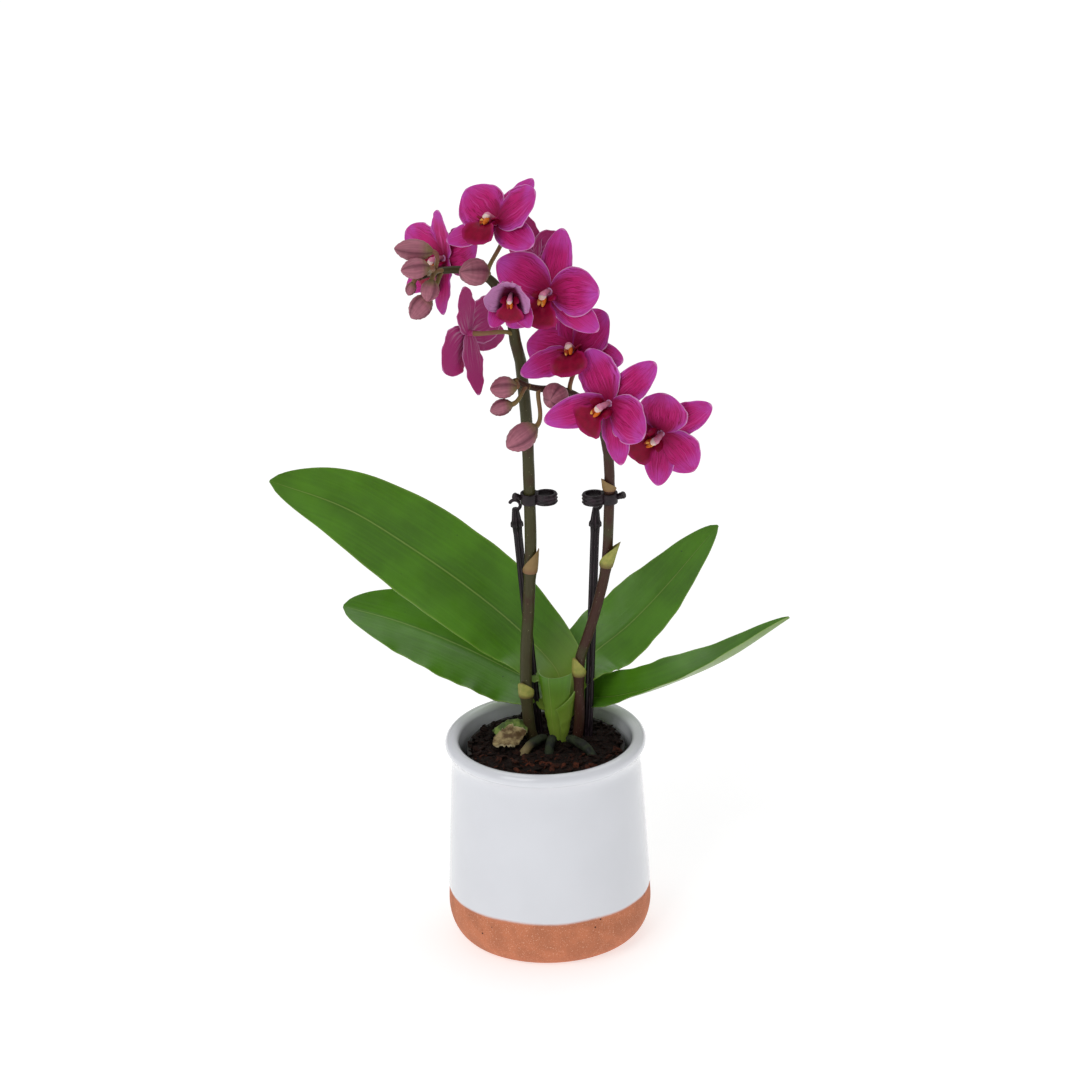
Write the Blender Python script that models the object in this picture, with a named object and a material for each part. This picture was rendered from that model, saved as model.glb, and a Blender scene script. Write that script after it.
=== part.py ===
"""A potted orchid: a glazed cover pot, the thin pot of bark inside it and the plant, with two staked flower
spikes. The origin is the middle of the pot's flat base, +Z is up and the plant's face looks along -Y.
Everything is in metres; the places in the tables are in millimetres or in tepal lengths, as each one says."""

import math
from collections import namedtuple
from math import cos, pi, radians, sin

import bmesh
import bpy
from mathutils import Vector, noise

MM = 0.001
UP = Vector((0, 0, 1))
GAP = 0.3 * MM  # between pieces that touch

# ---- Cover pot ----
POT_HEIGHT = 96.5 * MM
POT_BELLY_RADIUS = 45.5 * MM  # widest, low down
POT_FOOT_ROUND = 10.5 * MM  # how far the belly rounds in to the flat that the pot stands on
POT_BELLY_HEIGHT = 16.5 * MM
POT_TAPER = 2.9 * MM  # how much narrower the neck is than the belly
POT_NECK_DROP = 16.5 * MM  # from the top down to the neck
POT_ROLL_RADIUS = 3.1 * MM  # of the rim's rolled edge
POT_ROLL_OUT = 2.3 * MM  # how far the roll stands out past the neck
POT_WALL = 4.4 * MM
POT_FLOOR = 6.5 * MM

# ---- Thin pot and its mix ----
LINER_RING = 3.3 * MM  # open ring between the cover pot's mouth and the thin pot's rim
LINER_WALL = 0.9 * MM
LINER_RIM_OUT = 1.1 * MM
LINER_RIM_HEIGHT = 2.6 * MM
LINER_STAND = 0.5 * MM  # how far the rim stands above the mix
LINER_TAPER = 6.5 * MM  # top radius less bottom radius
LINER_HOLE_RADIUS = 3.0 * MM
LINER_HOLES = 6
MIX_DROP = 6.5 * MM  # the mix's surface below the cover pot's top
MIX_BUMP = 1.1 * MM
SOCKET_DEPTH = 45.0 * MM  # how deep a stake stands in the mix
SOCKET_GAP = 0.35 * MM

# ---- Plant ----
SHEATH_WIDTH = 13.6 * MM
SHEATH_DEPTH = 8.4 * MM
SHEATH_HEIGHT = 33.0 * MM
LEAF_THICKNESS = 1.5 * MM
ROOT_RADIUS = 2.1 * MM
LEFT_STEM_RADIUS = 2.65 * MM
RIGHT_STEM_RADIUS = 2.35 * MM
SPIKE_TIP_RADIUS = 1.25 * MM
PEDICEL_RADIUS = 1.0 * MM
STALK_GAP = 0.5 * MM  # from a stalk to its flower or bud
BRACT_THICKNESS = 0.5 * MM
BRACT_GAP = 0.45 * MM

# ---- Flowers ----
TEPAL_LENGTH = 25.0 * MM  # of a sepal, from the flower's middle to its tip
PETAL_LENGTH = 23.0 * MM
SEPAL_WIDTH = 14.5 * MM
PETAL_WIDTH = 22.0 * MM
TEPAL_THICKNESS = 0.7 * MM
RECEPTACLE_RADIUS = 1.7 * MM
RECEPTACLE_DEPTH = 3.6 * MM
RECEPTACLE_FACE = 0.9 * MM  # how far it comes in front of the petals' middle
COLUMN_RADIUS = 1.5 * MM
COLUMN_LENGTH = 8.0 * MM
LIP_REACH = 6.0 * MM  # forwards from the column's foot
LIP_DROP = 12.0 * MM
LIP_WIDTH = 15.0 * MM
LIP_THICKNESS = 0.8 * MM

# ---- Stakes and clips ----
STAKE_RADIUS = 2.0 * MM
STAKE_COLLAR_RADIUS = 2.9 * MM
STAKE_HOOK_RADIUS = 2.4 * MM
CLIP_HEIGHT = 5.0 * MM
CLIP_WALL = 1.1 * MM
CLIP_CLEARANCE = 0.4 * MM
CLIP_LOOP_RADIUS = 4.1 * MM
CLIP_LOOP_STRETCH = 1.25  # the finger loop is wider than deep
CLIP_TAB = 3.5 * MM

MIX_TOP = POT_HEIGHT - MIX_DROP

Flower = namedtuple("Flower", "place facing roll joint size curl cup tepals stalk", defaults=(None,))
Bud = namedtuple("Bud", "place axis joint length width")
Leaf = namedtuple("Leaf", "spine width face_base face_tip fold_base fold_tip fullness widest")


def at(x, y, z):
    """A place in millimetres from the middle of the mix's surface."""
    return Vector((x * MM, y * MM, z * MM + MIX_TOP))


# ---------------------------------------------------------------- curves and frames


def smooth(points, steps):
    """Points along a Catmull-Rom curve through the given ones, with steps stretches between each two."""
    ends = [2 * points[0] - points[1], *points, 2 * points[-1] - points[-2]]
    found = []
    for a, b, c, d in zip(ends, ends[1:], ends[2:], ends[3:]):
        for k in range(steps):
            t = k / steps
            bend = (2 * a - 5 * b + 4 * c - d) * t * t + (3 * b - a - 3 * c + d) * t**3
            found.append(0.5 * (2 * b + (c - a) * t + bend))
    return found + [points[-1].copy()]


def point_along(path, share):
    """The place and the direction at a share of the path's points."""
    place = share * (len(path) - 1)
    low = min(int(place), len(path) - 2)
    step = path[low + 1] - path[low]
    return path[low] + step * (place - low), step.normalized()


def point_at_height(path, height):
    """Where an upright path passes a height, and its direction there."""
    for a, b in zip(path, path[1:]):
        if a.z <= height <= b.z:
            return a.lerp(b, (height - a.z) / (b.z - a.z)), (b - a).normalized()
    return path[-1].copy(), (path[-1] - path[-2]).normalized()


def bezier(a, b, c, d, steps):
    return [
        a * (1 - t) ** 3 + 3 * b * t * (1 - t) ** 2 + 3 * c * t * t * (1 - t) + d * t**3
        for t in (k / steps for k in range(steps + 1))
    ]


def direction(azimuth, elevation):
    """A unit vector: azimuth 0 looks to the front (-Y) and turns towards +X, both in degrees."""
    level = cos(radians(elevation))
    return Vector((level * sin(radians(azimuth)), -level * cos(radians(azimuth)), sin(radians(elevation))))


def blend(a, b, share):
    return a + (b - a) * share


# ---------------------------------------------------------------- solids


def new_object(name, bm, finish):
    bmesh.ops.recalc_face_normals(bm, faces=bm.faces)
    mesh = bpy.data.meshes.new(name)
    bm.to_mesh(mesh)
    bm.free()
    mesh.shade_smooth()
    mesh.set_sharp_from_angle(angle=radians(50))
    obj = bpy.data.objects.new(name, mesh)
    bpy.context.collection.objects.link(obj)
    if finish:
        mesh.materials.append(material(*finish))
    return obj


def material(name, colour, roughness, metallic=0.0):
    found = bpy.data.materials.get(name)
    if found:
        return found
    made = bpy.data.materials.new(name)
    made.use_nodes = True
    shader = made.node_tree.nodes["Principled BSDF"]
    shader.inputs["Base Color"].default_value = (*colour, 1)
    shader.inputs["Roughness"].default_value = roughness
    shader.inputs["Metallic"].default_value = metallic
    return made


def loft(rings):
    """A closed solid through rings of points, with its two ends capped."""
    bm = bmesh.new()
    rows = [[bm.verts.new(p) for p in ring] for ring in rings]
    count = len(rows[0])
    for low, high in zip(rows, rows[1:]):
        for k in range(count):
            after = (k + 1) % count
            bm.faces.new((low[k], low[after], high[after], high[k]))
    bm.faces.new(rows[0])
    bm.faces.new(rows[-1])
    return bm


def sheet(rows):
    """A thin closed solid. Each row is a list of (front, back) points from one edge to the other."""
    bm = bmesh.new()
    fronts = [[bm.verts.new(front) for front, back in row] for row in rows]
    backs = [[bm.verts.new(back) for front, back in row] for row in rows]
    last_row, last = len(rows) - 1, len(rows[0]) - 1
    for i in range(last_row):
        for j in range(last):
            bm.faces.new((fronts[i][j], fronts[i][j + 1], fronts[i + 1][j + 1], fronts[i + 1][j]))
            bm.faces.new((backs[i][j], backs[i + 1][j], backs[i + 1][j + 1], backs[i][j + 1]))
        for j in (0, last):
            bm.faces.new((fronts[i][j], fronts[i + 1][j], backs[i + 1][j], backs[i][j]))
    for i in (0, last_row):
        for j in range(last):
            bm.faces.new((fronts[i][j], backs[i][j], backs[i][j + 1], fronts[i][j + 1]))
    return bm


def tube(path, radii, sides, shape=lambda angle: 1.0):
    """A round solid along a path. radii gives the radius at each point; shape scales it round the section."""
    tangents = [(b - a).normalized() for a, b in zip([path[0]] + path[:-1], path[1:] + [path[-1]])]
    tangents[0] = (path[1] - path[0]).normalized()
    across = tangents[0].orthogonal().normalized()
    rings = []
    for place, tangent, radius in zip(path, tangents, radii):
        across = (across - tangent * across.dot(tangent)).normalized()
        other = tangent.cross(across)
        angles = [2 * pi * k / sides for k in range(sides)]
        rings.append([place + radius * shape(a) * (cos(a) * across + sin(a) * other) for a in angles])
    return loft(rings)


def turned(profile, segments):
    """A solid turned round the Z axis from a profile of (radius, height) points that starts and ends on it."""
    bm = bmesh.new()
    points = [bm.verts.new((radius, 0, height)) for radius, height in profile]
    edges = [bm.edges.new(pair) for pair in zip(points, points[1:])]
    bmesh.ops.spin(bm, geom=points + edges, cent=(0, 0, 0), axis=UP, angle=2 * pi, steps=segments)
    bmesh.ops.remove_doubles(bm, verts=bm.verts, dist=1e-6)
    return bm


def combined(name, base, others, operation, finish, solver="EXACT"):
    """One body: base with every other solid joined to it or cut from it."""
    body = new_object(name, base, finish)
    for k, other in enumerate(others):
        helper = new_object(f"{name}_helper_{k}", other, None)
        helper.hide_render = True
        helper.display_type = "WIRE"
        step = body.modifiers.new("join", "BOOLEAN")
        step.object = helper
        step.operation = operation
        step.solver = solver
    done = bpy.data.meshes.new_from_object(body.evaluated_get(bpy.context.evaluated_depsgraph_get()))
    body.modifiers.clear()
    body.data = done
    body.data.name = name
    for k in range(len(others)):
        bpy.data.objects.remove(bpy.data.objects[f"{name}_helper_{k}"])
    return body


# ---------------------------------------------------------------- finishes

POT_GLAZE = ("white_glaze", (0.70, 0.71, 0.73), 0.12)
LINER_PLASTIC = ("liner_plastic", (0.05, 0.045, 0.04), 0.35)
BARK = ("bark_mix", (0.045, 0.022, 0.013), 0.95)
SHEATH_GREEN = ("sheath_green", (0.16, 0.27, 0.04), 0.45)
LEAF_GREEN = ("leaf_green", (0.07, 0.20, 0.025), 0.38)
OLD_LEAF = ("dry_leaf", (0.20, 0.15, 0.05), 0.85)
ROOT_SKIN = ("root_skin", (0.12, 0.13, 0.06), 0.8)
STEM_GREEN = ("stem_green", (0.09, 0.075, 0.035), 0.5)
BRACT_GREEN = ("bract_green", (0.35, 0.33, 0.09), 0.55)
PETAL_MAGENTA = ("petal_magenta", (0.42, 0.015, 0.20), 0.5)
LIP_CRIMSON = ("lip_crimson", (0.16, 0.003, 0.03), 0.5)
COLUMN_WHITE = ("column_white", (0.62, 0.38, 0.42), 0.45)
BUD_MAUVE = ("bud_mauve", (0.25, 0.08, 0.13), 0.55)
BLACK_PLASTIC = ("black_plastic", (0.02, 0.014, 0.015), 0.4)

# ---------------------------------------------------------------- pots and mix


def arc(centre, radius, start, stop, steps):
    """Points of an arc in a profile, from one angle to another in degrees, counted from +radius to +height."""
    angles = [radians(start + (stop - start) * k / steps) for k in range(steps + 1)]
    return [(centre[0] + radius * cos(a), centre[1] + radius * sin(a)) for a in angles]


POT_NECK_RADIUS = POT_BELLY_RADIUS - POT_TAPER
ROLL_CENTRE = (POT_NECK_RADIUS + POT_ROLL_OUT - POT_ROLL_RADIUS, POT_HEIGHT - POT_ROLL_RADIUS)
POT_MOUTH_RADIUS = ROLL_CENTRE[0] - POT_ROLL_RADIUS


def make_pot():
    base = POT_BELLY_RADIUS - POT_FOOT_ROUND
    neck = POT_HEIGHT - POT_NECK_DROP
    inside = POT_BELLY_RADIUS - POT_WALL
    outer = [(0, 0)]
    outer += [
        (base + POT_FOOT_ROUND * sin(radians(a)), POT_BELLY_HEIGHT * (1 - cos(radians(a))))
        for a in (0, 30, 55, 75, 90)
    ]
    outer += [
        (POT_BELLY_RADIUS - 0.55 * POT_TAPER, blend(POT_BELLY_HEIGHT, neck, 0.55)),
        (POT_NECK_RADIUS, neck),
    ]
    outer += arc(ROLL_CENTRE, POT_ROLL_RADIUS, -50, 180, 7)
    inner = [
        (POT_NECK_RADIUS - POT_WALL, neck),
        (inside, POT_BELLY_HEIGHT),
        (inside - 0.25 * POT_FOOT_ROUND, POT_FLOOR + 0.25 * POT_FOOT_ROUND),
        (inside - POT_FOOT_ROUND, POT_FLOOR),
        (0, POT_FLOOR),
    ]
    new_object("pot", turned(outer + inner, 40), POT_GLAZE)


LINER_TOP_RADIUS = POT_MOUTH_RADIUS - LINER_RING - LINER_RIM_OUT  # outside the wall
LINER_BASE_RADIUS = LINER_TOP_RADIUS - LINER_TAPER
LINER_BASE = POT_FLOOR + GAP
LINER_TOP = MIX_TOP + LINER_STAND


def make_liner():
    inner_top, inner_base = LINER_TOP_RADIUS - LINER_WALL, LINER_BASE_RADIUS - LINER_WALL
    profile = [
        (0, LINER_BASE),
        (LINER_BASE_RADIUS, LINER_BASE),
        (LINER_TOP_RADIUS, LINER_TOP - LINER_RIM_HEIGHT),
        (LINER_TOP_RADIUS + LINER_RIM_OUT, LINER_TOP - LINER_RIM_HEIGHT),
        (LINER_TOP_RADIUS + LINER_RIM_OUT, LINER_TOP),
        (inner_top, LINER_TOP),
        (inner_base, LINER_BASE + LINER_WALL),
        (0, LINER_BASE + LINER_WALL),
    ]
    holes = []
    for k in range(LINER_HOLES):
        turn = 2 * pi * k / LINER_HOLES
        middle = 0.6 * LINER_BASE_RADIUS * Vector((cos(turn), sin(turn), 0)) + LINER_BASE * UP
        holes.append(tube([middle - MM * UP, middle + 2 * MM * UP], [LINER_HOLE_RADIUS] * 2, 8))
    combined("nursery_pot", turned(profile, 32), holes, "DIFFERENCE", LINER_PLASTIC)


def mix_height(x, y):
    """The mix's surface: a low mound of bark pieces."""
    place = Vector((x, y, 0)) / (7 * MM)
    return MIX_TOP + MIX_BUMP * noise.noise(place)


def make_mix(sockets):
    """The mix fills the thin pot, and is open where the stakes, roots and stem base stand in it."""
    segments, rings = 24, 5
    floor = LINER_BASE + LINER_WALL + GAP
    slope = LINER_TAPER / (LINER_TOP - LINER_RIM_HEIGHT - LINER_BASE)
    top = LINER_TOP_RADIUS - LINER_WALL - GAP - slope * (LINER_TOP - MIX_TOP) - GAP
    base = LINER_BASE_RADIUS - LINER_WALL - GAP

    def ring(radius, height=None):
        turns = [2 * pi * k / segments for k in range(segments)]
        points = [(radius * cos(a), radius * sin(a)) for a in turns]
        return [Vector((x, y, mix_height(x, y) if height is None else height)) for x, y in points]

    levels = [ring(base, floor), ring(blend(base, top, 0.9), blend(floor, MIX_TOP, 0.9)), ring(top)]
    levels += [ring(top * (1 - k / rings)) for k in range(1, rings)]
    levels.append(ring(0.05 * top))
    combined("potting_bark", loft(levels), sockets, "DIFFERENCE", BARK)


# ---------------------------------------------------------------- stem base, roots and leaves

SHEATH_FOOT = at(5.6, 7.5, -5.0)
SHEATH_TOP = at(6.2, 10.5, 0) + SHEATH_HEIGHT * UP
SHEATH_GIRTH = (0.50, 0.52, 0.72, 0.93, 1.0, 0.86, 0.5)  # from the foot to the top


def sheath(extra=0.0):
    """The short stem in its leaf sheaths, an oval that widens upwards and closes at the top."""
    rings = []
    last = len(SHEATH_GIRTH) - 1
    for k, girth in enumerate(SHEATH_GIRTH):
        middle = SHEATH_FOOT.lerp(SHEATH_TOP, k / last)
        half_width = 0.5 * SHEATH_WIDTH * girth + extra
        half_depth = 0.5 * SHEATH_DEPTH * girth + extra
        turns = [2 * pi * j / 12 for j in range(12)]
        rings.append([middle + Vector((half_width * cos(a), half_depth * sin(a), 0)) for a in turns])
    return loft(rings)


ROOTS = {
    "root_front": ((3.5, 0.5, 3.0), (2.8, -2.5, 5.0), (1.8, -5.5, 3.0), (1.0, -8.0, -2.5)),
    "root_left": ((-0.2, 4.0, 2.6), (-3.0, 0.5, 3.6), (-7.5, -3.5, 2.4), (-11.5, -6.5, -2.5)),
    "root_right": ((10.5, 3.0, 2.4), (13.0, -1.0, 3.4), (18.0, -6.0, 2.2), (22.0, -10.0, -2.5)),
}


def root(points, extra=0.0):
    path = smooth([at(*p) for p in points], 2)
    radii = [ROOT_RADIUS * (0.8 if k == 0 else 1.0) + extra for k in range(len(path))]
    return tube(path, radii, 8)


LEAVES = {
    # spine from the stem base to the tip, full width, upper face at the base and the tip, fold, fullness, widest
    "leaf_upper_left": Leaf(
        (
            (6.0, 18.5, 29.0), (-9.0, 31.0, 42.5), (-28.0, 33.0, 60.5), (-54.0, 35.0, 81.5), (-86.0, 34.0, 105.0),
            (-119.5, 28.0, 122.5),
        ),
        46.0, (0.32, -0.84, 0.44), (0.30, -0.62, 0.72), 10, 6, 0.75, 1.1,
    ),
    "leaf_lower_left": Leaf(
        ((3.0, 20.0, 18.0), (-14.0, 33.0, 22.5), (-36.0, 41.0, 31.5), (-62.0, 47.0, 41.0), (-89.0, 49.0, 49.5)),
        41.0, (0.15, -0.68, 0.72), (0.20, -0.50, 0.84), 12, 8, 0.62, 1.05,
    ),
    "leaf_upper_right": Leaf(
        ((13.0, 19.5, 26.5), (24.0, 29.5, 33.0), (39.5, 34.0, 44.0), (58.0, 39.5, 61.5), (80.0, 45.0, 86.0)),
        36.0, (-0.50, -0.74, 0.45), (-0.52, -0.50, 0.70), 8, 12, 0.75, 0.95,
    ),
    "leaf_lower_right": Leaf(
        (
            (12.5, 15.5, 12.5), (21.0, 20.3, 12.0), (34.0, 13.2, 16.0), (54.0, 1.0, 27.0), (82.0, -5.0, 42.5),
            (110.0, -9.0, 65.0),
        ),
        29.0, (-0.10, -0.80, 0.60), (-0.40, 0.02, 0.92), 0, 48, 0.85, 1.35,
    ),
}


def leaf_rows(leaf, along=10, across=6):
    """Front and back points of a folded strap leaf, from its base to its tip."""
    spine = smooth([at(*p) for p in leaf.spine], 6)
    base, tip = Vector(leaf.face_base), Vector(leaf.face_tip)
    rows = []
    for i in range(along + 1):
        share = i / along
        place, tangent = point_along(spine, share)
        side = tangent.cross(blend(base, tip, share)).normalized()
        face = side.cross(tangent)
        spread = 0.16 * (1 - share) ** 2 + sin(pi * min(share, 0.985) ** leaf.widest) ** leaf.fullness
        half = 0.5 * leaf.width * MM * min(spread, 1.0)
        fold = radians(blend(leaf.fold_base, leaf.fold_tip, share))
        row = []
        for j in range(across + 1):
            v = 2 * j / across - 1
            rise = (math.hypot(v, 0.12) - 0.12) * half * sin(fold)
            point = place + side * (v * half * cos(fold)) + face * rise
            depth = LEAF_THICKNESS * (1 - 0.6 * v * v)
            row.append((point, point - face * depth))
        rows.append(row)
    return rows


OLD_LEAF_PLACES = (
    ((-22.5, -1.0, 3.0), (-21.0, 3.5, 4.0), (-17.5, 7.5, 6.0)),
    ((-18.5, -6.0, 3.0), (-16.0, 0.5, 7.0), (-13.0, 8.5, 8.5)),
    ((-14.0, -8.0, 3.2), (-11.5, -0.5, 7.0), (-10.5, 6.5, 8.0)),
)


def make_old_leaf():
    """The stub of an older leaf, lying arched on the mix."""
    rows = []
    for line in OLD_LEAF_PLACES:
        rows.append([(at(*p), at(*p) - LEAF_THICKNESS * UP) for p in line])
    new_object("old_leaf", sheet(rows), OLD_LEAF)


# ---------------------------------------------------------------- spikes

LEFT_STEM = (
    (0.0, 9.6, 6.0), (-4.0, 9.0, 7.0), (-7.4, 8.8, 12.0), (-8.0, 9.5, 23.6), (-7.4, 10.0, 44.3), (-5.8, 10.5, 63.9),
    (-4.1, 11.0, 93.0), (-3.9, 11.0, 118.0),
)
LEFT_RISE = ((0.085, 0.0, -2.2), (0.07, 0.0, -1.43), (0.0, 0.0, -0.37))  # the rest of it, in the spray's measure
LEFT_ARCH = (
    (-0.08, 0.0, 0.0), (-0.13, -0.02, 0.41), (-0.25, -0.06, 0.86), (-0.47, -0.12, 1.26), (-0.75, -0.20, 1.48),
    (-1.04, -0.28, 1.57), (-1.33, -0.36, 1.60), (-1.55, -0.42, 1.57), (-1.71, -0.46, 1.54),
)
RIGHT_STEM = (
    (12.6, 9.6, 6.0), (14.4, 8.4, 9.0), (15.7, 8.0, 16.0), (15.7, 8.5, 26.0), (16.6, 9.0, 39.0), (20.6, 9.0, 51.3),
    (25.5, 9.0, 67.6),
)
RIGHT_RISE = ((-0.1, 0.0, -1.73), (-0.03, 0.0, -0.72), (0.0, 0.0, 0.0))
RIGHT_ARCH = (
    (-0.01, 0.0, 0.42), (-0.08, 0.0, 0.82), (-0.23, -0.02, 1.21), (-0.43, -0.06, 1.50), (-0.65, -0.12, 1.69),
    (-0.92, -0.18, 1.81), (-1.17, -0.24, 1.85), (-1.41, -0.28, 1.93), (-1.60, -0.32, 2.06),
)
RIGHT_SPRAY_BASE = at(-6.1, 9.0, 129.2) + 1.524 * TEPAL_LENGTH * Vector((1, 0, 0))  # clear of the left spray
LEFT_SPRAY_BASE = at(-6.1, 11.0, 129.2) + 2.63 * TEPAL_LENGTH * UP  # clear above the right spray


def in_spray(base, place):
    """A place in a spray, in tepal lengths from the spray's base: bigger flowers stand further apart."""
    return base + TEPAL_LENGTH * Vector(place)


# Flowers: place, facing (azimuth, elevation) and roll in degrees, joint on the arch, size, how far a tepal
# curls along its length and cups across it, and the five tepals. A tepal has its angle clockwise from the
# top, its tilt forwards and its length as a share of the usual one. Sepal, petal, sepal, sepal, petal.
LEFT_FLOWERS = (
    Flower(
        (-0.92, -0.28, 0.34), (-123, -7), 18, 0.02, 1.0, -8, -0.06,
        ((-5, -12, 1.06), (91, -2, 1.1), (144, -15, 1.13), (-134, -3, 1.1), (-96, -11, 1.05)),
    ),
    Flower(
        (0.55, -1.0, 1.43), (-23, 16), 4, 0.16, 1.0, -12, -0.1,
        ((5, -2, 1.16), (79, 4, 1.08), (120, -2, 1.13), (-138, 4, 1.03), (-69, 9, 1.17)),
    ),
    Flower(
        (-0.12, -1.4, 1.6), (-10, -5), 0, 0.1, 0.72, 30, 0.22,
        ((0, 45, 1.0), (72, 48, 1.0), (144, 30, 1.0), (-144, 30, 1.0), (-72, 48, 1.0)), (60, 40),
    ),
    Flower(
        (0.32, 0.44, 1.43), (150, 10), 20, 0.22, 0.8, -8, -0.06,
        ((0, 20, 1.0), (78, 18, 1.0), (140, 18, 1.0), (-140, 18, 1.0), (-78, 20, 1.0)),
    ),
    Flower(
        (-0.35, -0.52, 2.57), (-50, 50), -16, 0.38, 1.0, -10, -0.1,
        ((15, -4, 1.04), (57, 16, 1.12), (113, 1, 1.1), (-124, 9, 0.97), (-57, 13, 1.04)),
    ),
    Flower(
        (-1.29, 0.76, 1.33), (-56, 11), -2, 0.3, 0.95, -8, 0.05,
        ((7, 19, 1.05), (60, -3, 1.16), (143, 20, 1.18), (-140, 16, 1.1), (-76, 16, 1.1)),
    ),
)
RIGHT_FLOWERS = (
    Flower(
        (0.94, -0.44, 1.02), (-16, -4), 66, 0.08, 1.0, -8, -0.08,
        ((-11, -4, 1.11), (75, 2, 1.0), (122, 4, 1.07), (-140, 6, 1.05), (-56, 11, 1.03)),
    ),
    Flower(
        (0.04, -1.05, 1.91), (-36, 9), 35, 0.30, 1.0, -10, -0.1,
        ((9, -11, 1.18), (77, 9, 1.07), (126, 3, 1.13), (-147, 26, 1.25), (-68, 0, 1.13)),
    ),
    Flower(
        (-0.56, -0.2, 2.56), (-30, 45), -24, 0.48, 1.0, -8, -0.06,
        ((0, 8, 1.0), (68, 22, 1.04), (119, 8, 1.08), (-116, 22, 1.08), (-71, 4, 1.0)),
    ),
)
LEFT_BUDS = (
    Bud((-0.77, -0.76, 1.74), (-60, 20), 0.50, 14.5, 12.5),
    Bud((-1.57, -0.84, 1.44), (-30, -60), 0.72, 10.0, 8.5),
    Bud((-1.74, -0.76, 1.09), (-60, -35), 0.72, 13.0, 10.0),
    Bud((-1.81, -1.0, 1.95), (-75, 5), 0.86, 13.0, 9.5),
    Bud((-1.83, -0.68, 2.18), (-90, 10), 0.78, 17.0, 10.0),
    Bud((-1.90, -0.68, 1.41), (-60, -60), 1.0, 6.5, 5.0),
)
RIGHT_BUDS = (
    Bud((-0.93, -0.56, 1.86), (-20, 10), 0.62, 12.5, 11.5),
    Bud((-1.55, -0.84, 1.21), (-60, -20), 0.74, 16.5, 12.0),
    Bud((-1.89, -0.6, 1.68), (-80, -10), 0.86, 10.5, 7.5),
    Bud((-1.84, -0.52, 2.03), (-90, 0), 1.0, 12.0, 10.0),
)


def flower_frame(flower):
    """The viewer's right, the flower's own up and the way it faces."""
    front = direction(*flower.facing)
    right = UP.cross(front).normalized()
    top = front.cross(right)
    turn = radians(flower.roll)
    return cos(turn) * right - sin(turn) * top, cos(turn) * top + sin(turn) * right, front


def bud_back(bud, base):
    """Where a bud meets its stalk, and the way it points."""
    axis = direction(*bud.axis)
    return in_spray(base, bud.place) - axis * (0.5 * bud.length * MM), axis


def make_spike(name, stem, rise, arch, base, stem_radius, flowers, buds):
    """A flower stem with its arch and the stalks of its flowers and buds, grown as one piece."""
    stem_path = smooth([at(*p) for p in stem] + [in_spray(base, p) for p in rise], 2)
    arch_path = smooth([in_spray(base, p) for p in arch], 2)
    path = stem_path + arch_path
    start = len(stem_path)
    radii = [stem_radius] * start
    radii += [blend(stem_radius, SPIKE_TIP_RADIUS, (k + 1) / len(arch_path)) for k in range(len(arch_path))]
    stalks = []
    for flower in flowers:
        front = flower_frame(flower)[2]
        heading = direction(*flower.stalk) if flower.stalk else front
        gap = STALK_GAP + PEDICEL_RADIUS * heading.cross(front).length
        end = in_spray(base, flower.place) - front * (flower.size * RECEPTACLE_DEPTH + gap)
        stalks.append((flower.joint, end, heading))
    for bud in buds:
        end, axis = bud_back(bud, base)
        stalks.append((bud.joint, end - axis * STALK_GAP, axis))
    others = []
    for joint, end, heading in stalks:
        root_place, along = point_along(arch_path, joint)
        reach = (end - root_place).length
        curve = bezier(root_place, root_place + 0.3 * reach * along, end - 0.4 * reach * heading, end, 5)
        others.append(tube(curve, [PEDICEL_RADIUS * (1.15 if k == 0 else 1.0) for k in range(6)], 5))
    combined(name, tube(path, radii, 8), others, "UNION", STEM_GREEN)
    return stem_path


def wrapped_bract(path, height, length, turn, flare, stem_radius, half_angle=150):
    """A scale leaf that clasps the stem at a joint and ends in a point on the side that turn gives."""
    rows = []
    for i in range(5):
        share = i / 4
        middle, along = point_at_height(path, MIX_TOP + height * MM + share * length * MM)
        radius = stem_radius + BRACT_GAP + BRACT_THICKNESS + flare * MM * share
        reach = radians(half_angle) * max((1 - share) ** 0.7, 0.12)
        row = []
        for j in range(7):
            angle = radians(turn) + reach * (2 * j / 6 - 1)
            out = Vector((cos(angle), sin(angle), 0))
            out = (out - along * out.dot(along)).normalized()
            row.append((middle + out * radius, middle + out * (radius - BRACT_THICKNESS)))
        rows.append(row)
    return sheet(rows)


# ---------------------------------------------------------------- flowers


def tepal_rows(flower, tepal, length, width, lift, fullness, widest, along=4, across=4):
    """Front and back points of one sepal or petal."""
    right, top, front = flower_frame(flower)
    angle, tilt, stretch = tepal
    out = cos(radians(angle)) * top + sin(radians(angle)) * right
    side = cos(radians(angle)) * right - sin(radians(angle)) * top
    length, width = length * flower.size * stretch, width * flower.size
    curl = radians(flower.curl)
    start = radians(tilt) - 0.5 * curl
    rows = []
    for i in range(along + 1):
        share = blend(TEPAL_FOOT, 0.985, sin(0.5 * pi * i / along) ** 1.1)
        bend = start + curl * share
        reach = length * (sin(bend) - sin(start)) / curl
        rise = length * (cos(start) - cos(bend)) / curl
        half = 0.5 * width * sin(pi * share**widest) ** fullness + 0.03 * width * (1 - share)
        face = cos(bend) * front - sin(bend) * out
        place = out * reach + front * (rise + lift)
        row = []
        for j in range(across + 1):
            v = 2 * j / across - 1
            point = place + side * (v * half) + face * (flower.cup * half * v * v)
            row.append((point + 0.5 * TEPAL_THICKNESS * face, point - 0.5 * TEPAL_THICKNESS * face))
        rows.append(row)
    return rows


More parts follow.
